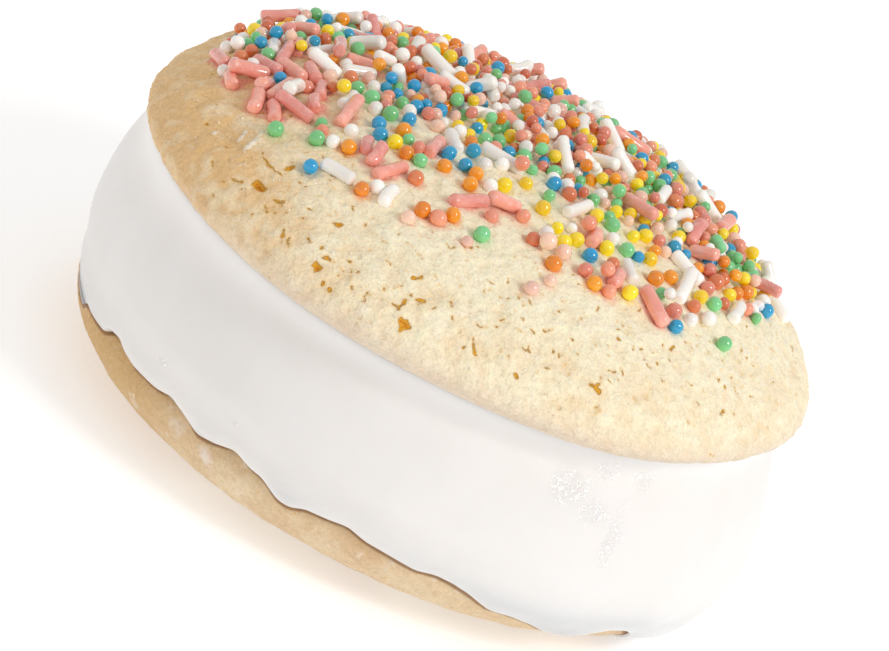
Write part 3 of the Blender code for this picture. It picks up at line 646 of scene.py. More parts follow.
def dome_profile(out):
    rise = (TOP_DOME_Z - TOP_WIDEST_Z) * dome_share(out, DOME_POWER, DOME_ROOT)
    return out * TOP_RADIUS, rise


def flat_profile(out):
    depth = (TOP_WIDEST_Z - TOP_UNDERSIDE_Z) * dome_share(out, FLAT_POWER, FLAT_ROOT)
    return out * TOP_RADIUS, -depth


# Where each section has its points, close together where the surface shows
BASE_STEPS, ICE_STEPS, TOP_STEPS = 600, 640, 720
BASE_DOWN = (
    0.0, 0.2, 0.32, 0.4, *np.linspace(0.44, 0.8, 66).tolist(), 0.83, 0.87, 0.92, 0.96, 1.0,
)
ICE_UPPER = (0.0, 0.5, 0.8, 0.92, 0.98)
ICE_WALL = tuple(np.linspace(0.0, 1.0, 84).tolist())
LIP_TURNS = tuple(math.pi * k / 6 for k in range(1, 6))
ICE_BACK = tuple(np.linspace(1.0, 0.08, 10).tolist())
ICE_LOWER = (0.43, 0.36, 0.25, 0.0)
TOP_OVER = (
    *np.linspace(0.0, 0.5, 14, endpoint=False).tolist(),
    *even_stations(dome_profile, 0.5, 1.0, 100),
)
TOP_UNDER = (*even_stations(flat_profile, 1.0, 0.88, 14)[1:], 0.82, 0.7, 0.4, 0.0)


def deselect_all():
    if bpy.context.object and bpy.context.object.mode != "OBJECT":
        bpy.ops.object.mode_set(mode="OBJECT")
    bpy.ops.object.select_all(action="DESELECT")


def read_vectors(entries, key):
    flat = np.empty(len(entries) * 3, np.float32)
    entries.foreach_get(key, flat)
    return flat.reshape(-1, 3).astype(np.float64)


def coordinates(mesh):
    return read_vectors(mesh.vertices, "co")


def normals_of(mesh):
    return read_vectors(mesh.vertex_normals, "vector")


def move_points(mesh, points):
    mesh.vertices.foreach_set("co", points.astype(np.float32).ravel())
    mesh.update()


def turned_body(name, steps, outline_at):
    """A band of faces rolled up and closed. Its points lie on outline_at(angle), a section
    from the top of the axis to the bottom, closer together on the -Y side."""
    even = np.arange(steps) / steps * TAU
    angles = even + NEAR_SIDE_CROWDING * np.sin(even) + math.pi / 2
    angles = (angles + math.pi) % TAU - math.pi
    table = np.array([outline_at(angle) for angle in angles])
    rings = table.shape[1] - 1
    table[:, 0], table[:, rings] = table[:, 0].mean(axis=0), table[:, rings].mean(axis=0)
    deselect_all()
    bpy.ops.mesh.primitive_grid_add(x_subdivisions=steps, y_subdivisions=rings, size=2.0)
    body = bpy.context.object
    body.name = body.data.name = name
    flat = coordinates(body.data)
    step = np.rint((flat[:, 0] + 1) / 2 * steps).astype(int) % steps
    ring = np.rint((1 - flat[:, 1]) / 2 * rings).astype(int)
    move_points(body.data, table[step, ring])
    write_attributes(body.data, ring=ring.astype(float))
    bpy.ops.object.mode_set(mode="EDIT")
    bpy.ops.mesh.select_all(action="SELECT")
    bpy.ops.mesh.remove_doubles(threshold=SEAM_REACH)
    bpy.ops.object.mode_set(mode="OBJECT")
    bpy.ops.object.shade_smooth()
    kept = body.data.attributes["ring"]
    ring = np.empty(len(body.data.vertices), np.float32)
    kept.data.foreach_get("value", ring)
    body.data.attributes.remove(kept)
    return body, np.rint(ring).astype(int)


def noise_at(points, width, seed):
    """Noise from about -1 to 1 at each point, with features of this width."""
    return np.array([noise.noise(place) for place in (points / width + seed).tolist()])


def eased(values):
    values = np.clip(values, 0.0, 1.0)
    return values * values * (3 - 2 * values)


def angles_of(points):
    return np.arctan2(points[:, 1], points[:, 0])


def towards_left(points, start_and_width):
    """From 0 to 1 towards -X, where it starts and over what width it grows."""
    start, width = start_and_width
    return eased((start - points[:, 0]) / width)


def write_attributes(mesh, **values):
    """Keeps values, or a colour with its amount, for each point of the mesh."""
    for name, given in values.items():
        kind, key = ("FLOAT", "value") if given.ndim == 1 else ("FLOAT_COLOR", "color")
        made = mesh.attributes.new(name, kind, "POINT")
        made.data.foreach_set(key, given.astype(np.float32).ravel())


def ride(piece, node=None, material=None):
    """Hangs a finished piece on the sandwich's one body, in the place of a node."""
    if material:
        piece.data.materials.clear()
        piece.data.materials.append(material)
    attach(piece, "root")
    if node:
        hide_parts(node)


# Sprinkles

# Where along a rod it is tried against what lies under it
ROD_SHARES = (-1, -0.5, 0, 0.5, 1)


@dataclass
class Sprinkle:
    """One sprinkle: a ball where its half length is 0, and a rod where it isn't."""

    centre: Vector
    along: Vector
    radius: float
    half_length: float
    colour: str = ""


def dome_normal(x, y):
    step = 0.8 * MM
    slope_x = (dome_height(x + step, y) - dome_height(x - step, y)) / (2 * step)
    slope_y = (dome_height(x, y + step) - dome_height(x, y - step)) / (2 * step)
    return Vector((-slope_x, -slope_y, 1.0)).normalized()


def beads(sprinkle):
    """Balls that stand for a sprinkle when others come to rest on it."""
    if not sprinkle.half_length:
        return [sprinkle.centre]
    reach = sprinkle.half_length - sprinkle.radius
    return [sprinkle.centre + sprinkle.along * reach * share for share in ROD_SHARES]


def grid_cell(x, y):
    return round(x / GRID_CELL), round(y / GRID_CELL)


def rest_height(x, y, radius, grid):
    """Height of a ball's centre where it rests on the dough or on the sprinkles below it."""
    height = dome_height(x, y) + radius * (1 - SUNK_SHARE) / dome_normal(x, y).z
    column, row = grid_cell(x, y)
    for i, j in itertools.product((-1, 0, 1), repeat=2):
        for centre, size in grid.get((column + i, row + j), ()):
            reach = NESTLED * (radius + size)
            flat = math.hypot(x - centre.x, y - centre.y)
            if flat < reach:
                height = max(height, centre.z + math.sqrt(reach * reach - flat * flat))
    return height


def set_down(x, y, heading, radius, half_length, grid):
    """A sprinkle laid at this place, leaning on whatever is under its ends."""
    if not half_length:
        height = rest_height(x, y, radius, grid)
        return Sprinkle(Vector((x, y, height)), Vector((1, 0, 0)), radius, 0.0)
    reach = half_length - radius
    flat = Vector((math.cos(heading), math.sin(heading), 0))
    spots = [(x + flat.x * reach * share, y + flat.y * reach * share) for share in ROD_SHARES]
    heights = [rest_height(*spot, radius, grid) for spot in spots]
    slope = (heights[-1] - heights[0]) / (2 * reach)
    lift = max(height - slope * reach * share for height, share in zip(heights, ROD_SHARES))
    along = Vector((flat.x, flat.y, slope)).normalized()
    return Sprinkle(Vector((x, y, lift)), along, radius, half_length)


def add_to_grid(sprinkle, grid):
    for centre in beads(sprinkle):
        grid.setdefault(grid_cell(centre.x, centre.y), []).append((centre, sprinkle.radius))


def crowding(x, y):
    """How likely a sprinkle is to land here: full at the back, thin along the front."""
    dx, dy = x - TOP_CENTRE[0] - PATCH_CENTRE[0], y - TOP_CENTRE[1] - PATCH_CENTRE[1]
    ragged = noise.noise(Vector((x / PATCH_RAGGED_WIDTH, y / PATCH_RAGGED_WIDTH, 5.0)))
    out = math.hypot(dx, dy) / (PATCH_RADIUS * (1 + PATCH_RAGGED * ragged))
    if out > 1:
        return 0.0
    front = smooth((y - TOP_CENTRE[1] - FRONT_Y) / FRONT_BLEND + 0.5)
    clump = 0.5 + 0.9 * noise.noise(Vector((x / CLUMP_WIDTH, y / CLUMP_WIDTH, 21.0)))
    return front * min(1.0, 0.55 + clump) * (1 - smooth((out - 0.9) / 0.12) * 0.6)


@functools.lru_cache(maxsize=None)
def sprinkle_field():
    """Every sprinkle: those known by sight first, then rods and balls that fall at random."""
    draw = random.Random(SPRINKLE_SEED)
    grid, laid = {}, []

    def lay(x, y, heading, radius, half_length, highest, colour=""):
        made = set_down(x, y, heading, radius, half_length, grid)
        if made.centre.z - dome_height(made.centre.x, made.centre.y) > highest:
            return False
        made.colour = colour
        laid.append(made)
        add_to_grid(made, grid)
        return True

    for x, y, heading, length, colour in SEEN_RODS:
        heading, radius = math.radians(heading), draw.uniform(*ROD_RADIUS)
        lay(*from_cookie_centre(x, y), heading, radius, length * MM / 2, PILE_HEIGHT, colour)
    for colour, places in SEEN_BALLS.items():
        for x, y, diameter in places:
            lay(*from_cookie_centre(x, y), 0.0, diameter * MM / 2, 0.0, PILE_HEIGHT, colour)
    kinds = [True] * ROD_COUNT + [False] * BALL_COUNT
    draw.shuffle(kinds)
    for is_rod in kinds:
        for _ in range(TRIES):
            turn, out = draw.uniform(0, TAU), math.sqrt(draw.random()) * PATCH_RADIUS * 1.08
            x = TOP_CENTRE[0] + PATCH_CENTRE[0] + out * math.cos(turn)
            y = TOP_CENTRE[1] + PATCH_CENTRE[1] + out * math.sin(turn)
            heading = draw.uniform(0, math.pi)
            radius = draw.uniform(*(ROD_RADIUS if is_rod else BALL_RADIUS))
            half_length = draw.uniform(*ROD_LENGTH) / 2 if is_rod else 0.0
            if draw.random() > crowding(x, y):
                continue
            front = y - TOP_CENTRE[1] < SINGLE_BELOW_Y
            if lay(x, y, heading, radius, half_length, SINGLE_HEIGHT if front else PILE_HEIGHT):
                break
    give_colours(laid)
    return laid


def give_colours(laid):
    """Gives each sprinkle that fell at random a colour, by the chances where it lies."""
    draw = random.Random(COLOUR_SEED)
    for sprinkle in laid:
        if sprinkle.colour:
            continue
        if sprinkle.half_length:
            chance = PINK_ROD_CHANCES[0 if sprinkle.centre.x < PINK_CORNER_X else 1]
            sprinkle.colour = "pink" if draw.random() < chance else "white"
            continue
        side = smooth(0.5 + sprinkle.centre.x / (1.6 * PATCH_RADIUS))
        weights = [left + (right - left) * side for left, right in BALL_CHANCES.values()]
        sprinkle.colour = draw.choices(list(BALL_CHANCES), weights)[0]


def read_template(obj):
    """Points and faces of a modelled shape, which is then removed."""
    points = coordinates(obj.data)
    faces = [tuple(face.vertices) for face in obj.data.polygons]
    bpy.data.objects.remove(obj)
    return points, faces


def ball_template():
    """A ball of a few dozen faces, one unit in radius."""
    deselect_all()
    bpy.ops.mesh.primitive_ico_sphere_add(subdivisions=2, radius=1.0)
    return read_template(bpy.context.object)


def rod_template():
    """A rod along Z, one unit in radius and six long, with rounded ends and a few rings."""
    deselect_all()
    bpy.ops.mesh.primitive_cylinder_add(vertices=10, radius=1.0, depth=6.0)
    rod = bpy.context.object
    rounded = rod.modifiers.new("rounded", "BEVEL")
    rounded.width, rounded.segments, rounded.limit_method = 0.6, 3, "ANGLE"
    rounded.angle_limit = math.radians(60)
    bpy.ops.object.modifier_apply(modifier=rounded.name)
    bpy.ops.object.mode_set(mode="EDIT")
    for height in (-2.0, -0.7, 0.7, 2.0):
        bpy.ops.mesh.select_all(action="SELECT")
        bpy.ops.mesh.bisect(plane_co=(0, 0, height), plane_no=(0, 0, 1))
    bpy.ops.object.mode_set(mode="OBJECT")
    return read_template(rod)


def joined_copies(name, template, placed):
    """One mesh of a copy of the template for each entry of placed, a function of the
    template's points that gives the copy's points, with a tint of its own."""
    points, faces = template
    count = len(points)
    made = [place(points) for place in placed]
    mesh = bpy.data.meshes.new(name)
    stacked = [tuple(i + count * k for i in face) for k in range(len(made)) for face in faces]
    mesh.from_pydata(np.concatenate(made).tolist(), [], stacked)
    mesh.validate()
    mesh.shade_smooth()
    draw = np.random.default_rng(len(made))
    tint = np.repeat(draw.random(len(made)), count)
    # Height of each point in its copy, from -1 to 1, by which the sugar paints light: brighter on
    # the lower side and a little darker on top
    lift = [2 * (copy[:, 2] - copy[:, 2].mean()) / np.ptp(copy[:, 2]) for copy in made]
    write_attributes(mesh, tint=tint, lift=np.concatenate(lift))
    piece = bpy.data.objects.new(name, mesh)
    bpy.context.scene.collection.objects.link(piece)
    return piece


def any_turn(draw):
    return Euler([draw.uniform(0, TAU) for _ in range(3)]).to_matrix()


def placed_ball(sprinkle, draw):
    """A slightly uneven ball in its place."""
    turn = any_turn(draw)
    squash = Matrix.Diagonal([draw.uniform(*BALL_SQUASH) for _ in range(3)])
    matrix = np.array(turn @ squash) * sprinkle.radius
    centre = np.array(sprinkle.centre)
    return lambda points: points @ matrix.T + centre


def placed_rod(sprinkle, draw):
    """A rod in its place: a little bent, and lumpy where its sugar has softened."""
    radius, half = sprinkle.radius, sprinkle.half_length
    turn = np.array(sprinkle.along.to_track_quat("Z", "Y").to_matrix())
    bend, seed = draw.uniform(-ROD_BEND, ROD_BEND), draw.uniform(0, 50)
    lump = ROD_LUMPS["soft" if sprinkle.colour == "pink" else "hard"]
    centre = np.array(sprinkle.centre)

    def place(points):
        z = points[:, 2]
        ends = np.sign(z) * (half - (3 - np.abs(z)) * radius)
        run = np.where(np.abs(z) > 2, ends, z / 2 * (half - radius))
        swell = radius * (1 + lump * noise_at(points, 1.3, seed))
        shaped = np.stack([points[:, 0] * swell, points[:, 1] * swell, run], axis=1)
        shaped[:, 0] += bend * radius * (1 - (run / half) ** 2)
        return shaped @ turn.T + centre

    return place


def grain_template():
    """A sugar crystal: a block with its edges taken off, one unit across."""
    deselect_all()
    bpy.ops.mesh.primitive_cube_add(size=1.0)
    grain = bpy.context.object
    edges = grain.modifiers.new("edges", "BEVEL")
    edges.width, edges.segments = 0.16, 1
    bpy.ops.object.modifier_apply(modifier=edges.name)
    return read_template(grain)


def placed_grain(ground, draw):
    """A crystal of its own size that stands half sunk in the dough."""
    turn = any_turn(draw)
    sides = Matrix.Diagonal([sizes().crystal_size * draw.uniform(*GRAIN_SIDE) for _ in range(3)])
    matrix = np.array(turn @ sides)
    return lambda points: points @ matrix.T + ground


# Marks in the dough

def scattered(draw, spread):
    """A random place on the dome: nearest, farthest and likeliest share of its radius."""
    turn, out = draw.uniform(-math.pi, math.pi), draw.triangular(*spread)
    reach = top_radius(turn) * out
    return TOP_CENTRE[0] + reach * math.cos(turn), TOP_CENTRE[1] + reach * math.sin(turn)


def pits_in_dome():
    """Ends and half width of each pit: those seen, then a scatter of small ones."""
    pits = on_dome(SEEN_PITS)
    draw = random.Random(PIT_SEED)
    for _ in range(PIT_COUNT):
        x, y = scattered(draw, PIT_SPREAD)
        lie, length = draw.uniform(0, math.pi), draw.uniform(*PIT_LENGTH)
        end = (x + length * math.cos(lie), y + length * math.sin(lie))
        pits.append(((x, y), end, draw.uniform(*PIT_HALF_WIDTH)))
    return pits


def on_dome(strokes):
    """Strokes in millimetres from the upper cookie's centre, as ends and a half width."""
    placed = []
    for x0, y0, x1, y1, half_width in strokes:
        ends = from_cookie_centre(x0, y0), from_cookie_centre(x1, y1)
        placed.append((*ends, STROKE_SPREAD * half_width * MM))
    return placed


def stroke_value(points, strokes):
    """For each point, 0.5 at the wandering edge of a stroke on the dome and more inside it."""
    wander = np.zeros(points.shape)
    for width, shift in STROKE_WANDER:
        for axis in range(3):
            wander[:, axis] += shift * noise_at(points, width, 3.0 + 5 * axis)
    value, moved = np.zeros(len(points)), points + wander
    for start, end, half_width in strokes:
        a, b = (np.array((x, y, dome_height(x, y))) for x, y in (start, end))
        reach = np.linalg.norm(b - a) / 2 + half_width + STROKE_EDGE
        near = np.nonzero(((moved - (a + b) / 2) ** 2).sum(axis=1) < reach * reach)[0]
        share = np.clip((moved[near] - a) @ (b - a) / ((b - a) @ (b - a)), 0, 1)
        away = np.linalg.norm(moved[near] - a - share[:, None] * (b - a), axis=1)
        inside = 0.5 + (half_width - away) / STROKE_EDGE
        value[near] = np.maximum(value[near], np.clip(inside, 0, 1))
    return value


def dye_of(points, near_dome):
    """Colour that the sprinkles give each point of the dough, partly their stain and partly painted
    bounce light, and how much of it.
    """
    laid = [s for s in sprinkle_field() if DYE_STRENGTH[s.colour] > 0]
    spots = [(centre, sprinkle) for sprinkle in laid for centre in beads(sprinkle)]
    tree = kdtree.KDTree(len(spots))
    for number, (centre, _) in enumerate(spots):
        tree.insert(centre, number)
    tree.balance()
    paint = {name: np.array(getattr(colours(), name)) for name in DYE_STRENGTH}
    dye = np.zeros((len(points), 4))
    spread = 1 + DYE_WAVER * noise_at(points, DYE_WAVER_WIDTH, 8.0)
    farthest = BALL_RADIUS[1] + 1.8 * DYE_REACH
    for index in np.nonzero(near_dome)[0]:
        clear, total, mixed = 1.0, 0.0, np.zeros(3)
        for _, number, distance in tree.find_range(points[index].tolist(), farthest):
            sprinkle = spots[number][1]
            amount = smooth(1 - (distance - 0.7 * sprinkle.radius) / (DYE_REACH * spread[index]))
            amount *= DYE_STRENGTH[sprinkle.colour]
            clear *= 1 - amount
            total += amount
            mixed += amount * paint[sprinkle.colour]
        if total > 0:
            dye[index, :3], dye[index, 3] = mixed / total, 1 - clear
    return dye


# Materials

def put(tree, socket, value):
    """Sets a socket: a link from another socket, a number, or a colour."""
    if isinstance(value, bpy.types.NodeSocket):
        tree.links.new(value, socket)
    else:
        socket.default_value = value if isinstance(value, (int, float)) else (*value[:3], 1.0)


def add(tree, kind, **settings):
    made = tree.nodes.new(kind)
    for key, value in settings.items():
        setattr(made, key, value)
    return made


def mix(tree, factor, first, second, blend_type="MIX"):
    """Mixes two colours by a factor."""
    made = add(tree, "ShaderNodeMix", data_type="RGBA", blend_type=blend_type)
    for number, value in ((0, factor), (6, first), (7, second)):
        put(tree, made.inputs[number], value)
    return made.outputs[2]


def layered(tree, colour, *layers):
    """Lays colours over a first one in turn, each with the factor by which it covers."""
    for factor, over in layers:
        colour = mix(tree, factor, colour, over)
    return colour


def remap(tree, value, low, high, to_low=0.0, to_high=1.0):
    """Takes a value from one range to another, and keeps it inside."""
    made = add(tree, "ShaderNodeMapRange", interpolation_type="SMOOTHSTEP")
    for number, given in enumerate((value, low, high, to_low, to_high)):
        put(tree, made.inputs[number], given)
    return made.outputs["Result"]


def maths(tree, operation, *values):
    made = add(tree, "ShaderNodeMath", operation=operation)
    for socket, value in zip(made.inputs, values):
        put(tree, socket, value)
    return made.outputs[0]


def attribute(tree, name, output="Fac"):
    return add(tree, "ShaderNodeAttribute", attribute_name=name).outputs[output]


def object_place(tree):
    return add(tree, "ShaderNodeTexCoord").outputs["Object"]


def noise_texture(tree, place, width, detail=3.0, roughness=0.55, output="Fac"):
    """Noise whose features are about this wide, as a value round 0.5 or a colour."""
    made = add(tree, "ShaderNodeTexNoise", noise_dimensions="3D")
    settings = {"Vector": place, "Scale": 1.0 / width, "Detail": detail, "Roughness": roughness}
    for name, value in settings.items():
        put(tree, made.inputs[name], value)
    return made.outputs[output]


def build_group(name, inputs, outputs):
    """An empty node group with these sockets, each a name and a kind."""
    tree = bpy.data.node_groups.new(name, "ShaderNodeTree")
    for in_out, sockets in (("INPUT", inputs), ("OUTPUT", outputs)):
        for socket, kind in sockets.items():
            tree.interface.new_socket(name=socket, in_out=in_out, socket_type=f"NodeSocket{kind}")
    return tree, tree.nodes.new("NodeGroupInput"), tree.nodes.new("NodeGroupOutput")


def place_group(tree, name, build, **values):
    """A copy of a shared group, built the first time that it is asked for, with its inputs."""
    made = add(tree, "ShaderNodeGroup", node_tree=bpy.data.node_groups.get(name) or build(name))
    for key, value in values.items():
        put(tree, made.inputs[key.replace("_", " ").title()], value)
    return made.outputs


def build_crumb_group(name):
    """Baked crumb: slow patches, soft mottling, fine speckle, tiny pores, and their height."""
    tree, given, out = build_group(
        name, {"Pore Amount": "Float"},
        dict.fromkeys(("Patch", "Mottle", "Speckle", "Pores", "Height", "Shade"), "Float"),
    )
    place = object_place(tree)
    mottle = noise_texture(tree, place, 2.2 * MM, 4.0, 0.62)
    speckle = noise_texture(tree, place, 0.6 * MM, 5.0, 0.7)
    grit = noise_texture(tree, place, 0.32 * MM, 3.0, 0.6)
    warped = add(tree, "ShaderNodeVectorMath", operation="MULTIPLY_ADD")
    tree.links.new(noise_texture(tree, place, 0.9 * MM, 2.0, 0.5, "Color"), warped.inputs[0])
    warped.inputs[1].default_value = (0.9 * MM,) * 3
    tree.links.new(place, warped.inputs[2])
    cells = add(tree, "ShaderNodeTexVoronoi", feature="F1")
    put(tree, cells.inputs["Scale"], 1 / (1.5 * MM))
    put(tree, cells.inputs["Vector"], warped.outputs[0])
    where = remap(tree, noise_texture(tree, place, 5 * MM, 2.0), 0.5, 0.6)
    pores = maths(tree, "MULTIPLY", remap(tree, cells.outputs["Distance"], 0.2, 0.1), where)
    pores = maths(tree, "MULTIPLY", pores, given.outputs["Pore Amount"])
    shades = [remap(tree, value, 0.34, 0.66, 0.95, 1.05) for value in (grit, speckle)]
    height = maths(tree, "MULTIPLY_ADD", speckle, 0.42, maths(tree, "MULTIPLY", mottle, 1.5))
    height = maths(tree, "MULTIPLY_ADD", grit, 0.10, height)
    made = {
        "Patch": remap(tree, noise_texture(tree, place, 9 * MM, 4.0, 0.6), 0.38, 0.64),
        "Mottle": mottle, "Speckle": speckle, "Pores": pores,
        "Height": maths(tree, "MULTIPLY_ADD", pores, -0.4, height),
        "Shade": maths(tree, "MULTIPLY", *shades),
    }
    for socket, value in made.items():
        tree.links.new(value, out.inputs[socket])
    return tree


def build_candy_group(name):
    """Sugar shell: each sprinkle's own tint, painted light that makes its lower side brighter and
    its top a little darker, a cloudy softened skin, and faint lumps.
    """
    tree, given, out = build_group(
        name, {"Colour": "Color", "Cloud": "Float"},
        {"Colour": "Color", "Roughness": "Float", "Height": "Float"},
    )
    tint = attribute(tree, "tint")
    own = remap(tree, tint, 0.0, 1.0, 0.9, 1.1)
    # Painted light: each sprinkle brighter on its lower side and a little darker on top
    lit = remap(tree, attribute(tree, "lift"), -0.9, 0.5, 1.3, 0.95)
    shift = add(tree, "ShaderNodeHueSaturation")
    put(tree, shift.inputs["Color"], given.outputs["Colour"])
    put(tree, shift.inputs["Hue"], remap(tree, tint, 0.0, 1.0, 0.495, 0.510))
    put(tree, shift.inputs["Value"], maths(tree, "MULTIPLY", own, lit))
    cloud = noise_texture(tree, object_place(tree), 0.9 * MM, 3.0, 0.6)
    skin = maths(tree, "MULTIPLY", remap(tree, cloud, 0.46, 0.68), given.outputs["Cloud"])
    made = {
        "Colour": mix(tree, skin, shift.outputs["Color"], CLOUDY_SUGAR),
        "Roughness": remap(tree, cloud, 0.3, 0.7, 0.14, 0.3),
        "Height": cloud,
    }
    for socket, value in made.items():
        tree.links.new(value, out.inputs[socket])
    return tree


def new_material(name, **values):
    """A material with its Principled shader, whose constant inputs are set here."""
    material = bpy.data.materials.new(name)
    material.use_nodes = True
    shader = material.node_tree.nodes["Principled BSDF"]
    for key, value in values.items():
        shader.inputs[key.replace("_", " ").title().replace("Ior", "IOR")].default_value = value
    return material, material.node_tree, shader


def finish_surface(tree, shader, colour, roughness, height=None, distance=0.0):
    """Feeds a shader its colour and roughness, and the bumps that a height gives."""
    tree.links.new(colour, shader.inputs["Base Color"])
    tree.links.new(roughness, shader.inputs["Roughness"])
    if height is not None:
        bump = add(tree, "ShaderNodeBump")
        for name, value in (("Strength", 1.0), ("Distance", distance), ("Height", height)):
            put(tree, bump.inputs[name], value)
        tree.links.new(bump.outputs["Normal"], shader.inputs["Normal"])


def pale_dough_material():
    """Upper cookie: cream dough, browning towards -X and the rim, towards -X partly as painted
    shade of the side away from the light; mottle and low places that partly paint light and shade
    on its bumps;
    golden in its pits as painted light scattered in the crumb, with painted shade at their floors;
    soaked where it meets the ice cream, and stained round the sprinkles, partly with painted bounce
    light of their colours."""
    material, tree, shader = new_material(
        "baked_pale", subsurface_weight=0.25, subsurface_radius=(1.0, 0.7, 0.4),
        subsurface_scale=0.5 * MM, specular_ior_level=0.2,
    )
    crumb = place_group(tree, "baked_crumb", build_crumb_group, pore_amount=0.5)
    mottle, speckle = crumb["Mottle"], crumb["Speckle"]
    tan = maths(tree, "MULTIPLY_ADD", crumb["Patch"], 0.05, attribute(tree, "browned"))
    # Partly painted shade: tanner where the mottle, which also sets the bumps' height, lies low
    tan = maths(tree, "ADD", tan, remap(tree, mottle, 0.5, 0.3, 0.0, 0.16))
    # Painted shade: tanner in the low places between the dough's bumps
    tan = maths(tree, "MULTIPLY_ADD", attribute(tree, "hollow"), 0.14, tan)
    ragged = maths(tree, "SUBTRACT", speckle, 0.5)
    pit = maths(tree, "MULTIPLY_ADD", ragged, 1.1, attribute(tree, "pit"))
    inside = remap(tree, pit, 0.46, 0.64)
    # Partly stain, partly painted bounce light from the sprinkles
    dyed = maths(tree, "MULTIPLY", attribute(tree, "dye", "Alpha"), 0.8)
    colour = layered(
        tree, colours().dough,
        (tan, colours().dough_tan),
        # Partly painted light: paler where the mottle, and so the bump, stands high
        (remap(tree, mottle, 0.55, 0.75, 0.0, 0.4), FLOURY),
        (remap(tree, speckle, 0.4, 0.25, 0.0, 0.5), colours().dough_tan),
        (attribute(tree, "soaked"), SOAKED),
        (dyed, attribute(tree, "dye", "Color")),
    )
    colour = layered(
        tree, mix(tree, 1.0, colour, crumb["Shade"], "MULTIPLY"),
        # Painted light in the pits and pores: the warm light that the crumb scatters in them,
        # darkest at a pit's floor as painted shade
        (remap(tree, pit, 0.1, 0.5, 0.0, 0.4), PIT_RIM),
        (maths(tree, "MULTIPLY", crumb["Pores"], 0.5), PORE),
        (inside, colours().dough_pit),
        (remap(tree, pit, 0.74, 1.0, 0.0, 0.8), PIT_FLOOR),
        (remap(tree, attribute(tree, "flake"), 0.4, 0.56, 0.0, 0.85), FLAKE),
    )
    rough = remap(tree, speckle, 0.3, 0.7, 0.7, 0.45)
    height = maths(tree, "MULTIPLY_ADD", inside, -0.5, crumb["Height"])
    finish_surface(tree, shader, colour, rough, height, 0.55 * MM)
    return material


def tan_dough_material():
    """Lower cookie: smoother tan dough, deeper in colour where the ice cream has wet it, with a
    dark line at the ice cream's edge that is partly painted contact shadow, darker towards -X
    partly as painted shade, and pores in the painted light colour of the pits.
    """
    material, tree, shader = new_material(
        "baked_tan", subsurface_weight=0.08, subsurface_radius=(1.0, 0.6, 0.3),
        subsurface_scale=0.5 * MM, specular_ior_level=0.3,
    )
    crumb = place_group(tree, "baked_crumb", build_crumb_group, pore_amount=0.6)
    mottle, speckle, wetted = crumb["Mottle"], crumb["Speckle"], attribute(tree, "wetted")
    colour = layered(
        tree, colours().dough_base,
        (crumb["Patch"], BASE_PATCH),
        (remap(tree, mottle, 0.5, 0.3, 0.0, 0.4), BASE_MOTTLE),
        (attribute(tree, "browned"), BASE_BROWNED),
        (maths(tree, "MULTIPLY", wetted, 0.3), BASE_WETTED),
        (remap(tree, speckle, 0.4, 0.25, 0.0, 0.4), BASE_SPECK),
        # Painted light of the pits, in the pores
        (maths(tree, "MULTIPLY", crumb["Pores"], 0.6), colours().dough_pit),
        (remap(tree, mottle, 0.56, 0.72, 0.0, 0.55), BASE_FLOURY),
    )
    smeared = remap(tree, mottle, 0.4, 0.6, 0.1, 0.5)
    smeared = maths(tree, "MULTIPLY", attribute(tree, "smeared"), smeared)
    colour = layered(
        tree, mix(tree, 1.0, colour, crumb["Shade"], "MULTIPLY"),
        # The dark line at the ice cream's edge is partly wet dough and partly painted contact
        # shadow under the lip
        (smeared, BASE_SMEAR), (remap(tree, wetted, 0.86, 0.95, 0.0, 0.75), BASE_LINE),
    )
    rough = remap(tree, speckle, 0.3, 0.7, 0.7, 0.5)
    finish_surface(tree, shader, colour, rough, crumb["Height"], 0.2 * MM)
    return material


def cream_material():
    """Vanilla ice cream: smooth and softly lit through, wet where its skin has wrinkled, with
    painted highlights on the ridges of the wrinkles and a painted glow under the upper cookie's rim
    that lifts the shade there.
    """
    material, tree, shader = new_material(
        "vanilla_cream", subsurface_weight=0.8, subsurface_radius=(1.0, 0.9, 0.82),
        subsurface_scale=3.0 * MM, specular_ior_level=0.45, emission_strength=RIM_GLOW,
    )
    place, wet = object_place(tree), attribute(tree, "wet")
    fine = noise_texture(tree, place, 0.8 * MM, 3.0)
    dry = remap(tree, fine, 0.3, 0.7, 0.42, 0.52)
    wrinkle = maths(tree, "SUBTRACT", noise_texture(tree, place, 0.8 * MM, 2.0), 0.5)
    ridge = remap(tree, maths(tree, "ABSOLUTE", wrinkle), 0.045, 0.0)
    # Painted highlight: the ridges of the wet wrinkles are painted white and made to glow; the same
    # mask also gives their bumps
    white = maths(tree, "MULTIPLY", ridge, wet)
    colour = layered(
        tree, colours().cream,
        (remap(tree, noise_texture(tree, place, 7 * MM, 3.0), 0.35, 0.7), CREAM_CLOUD),
        (maths(tree, "MULTIPLY", wet, 0.3), CREAM_WET), (white, RIDGE),
    )
    # Painted light: the glow under the upper cookie's rim and on the wet ridges feeds the emission
    glow = maths(tree, "MULTIPLY_ADD", attribute(tree, "groove"), 0.7, white)
    tree.links.new(mix(tree, glow, BLACK, GLOW), shader.inputs["Emission Color"])
    rough = maths(tree, "MULTIPLY_ADD", wet, -0.25, dry)
    height = maths(tree, "MULTIPLY_ADD", fine, 0.2, white)
    finish_surface(tree, shader, colour, rough, height, 0.14 * MM)
    return material


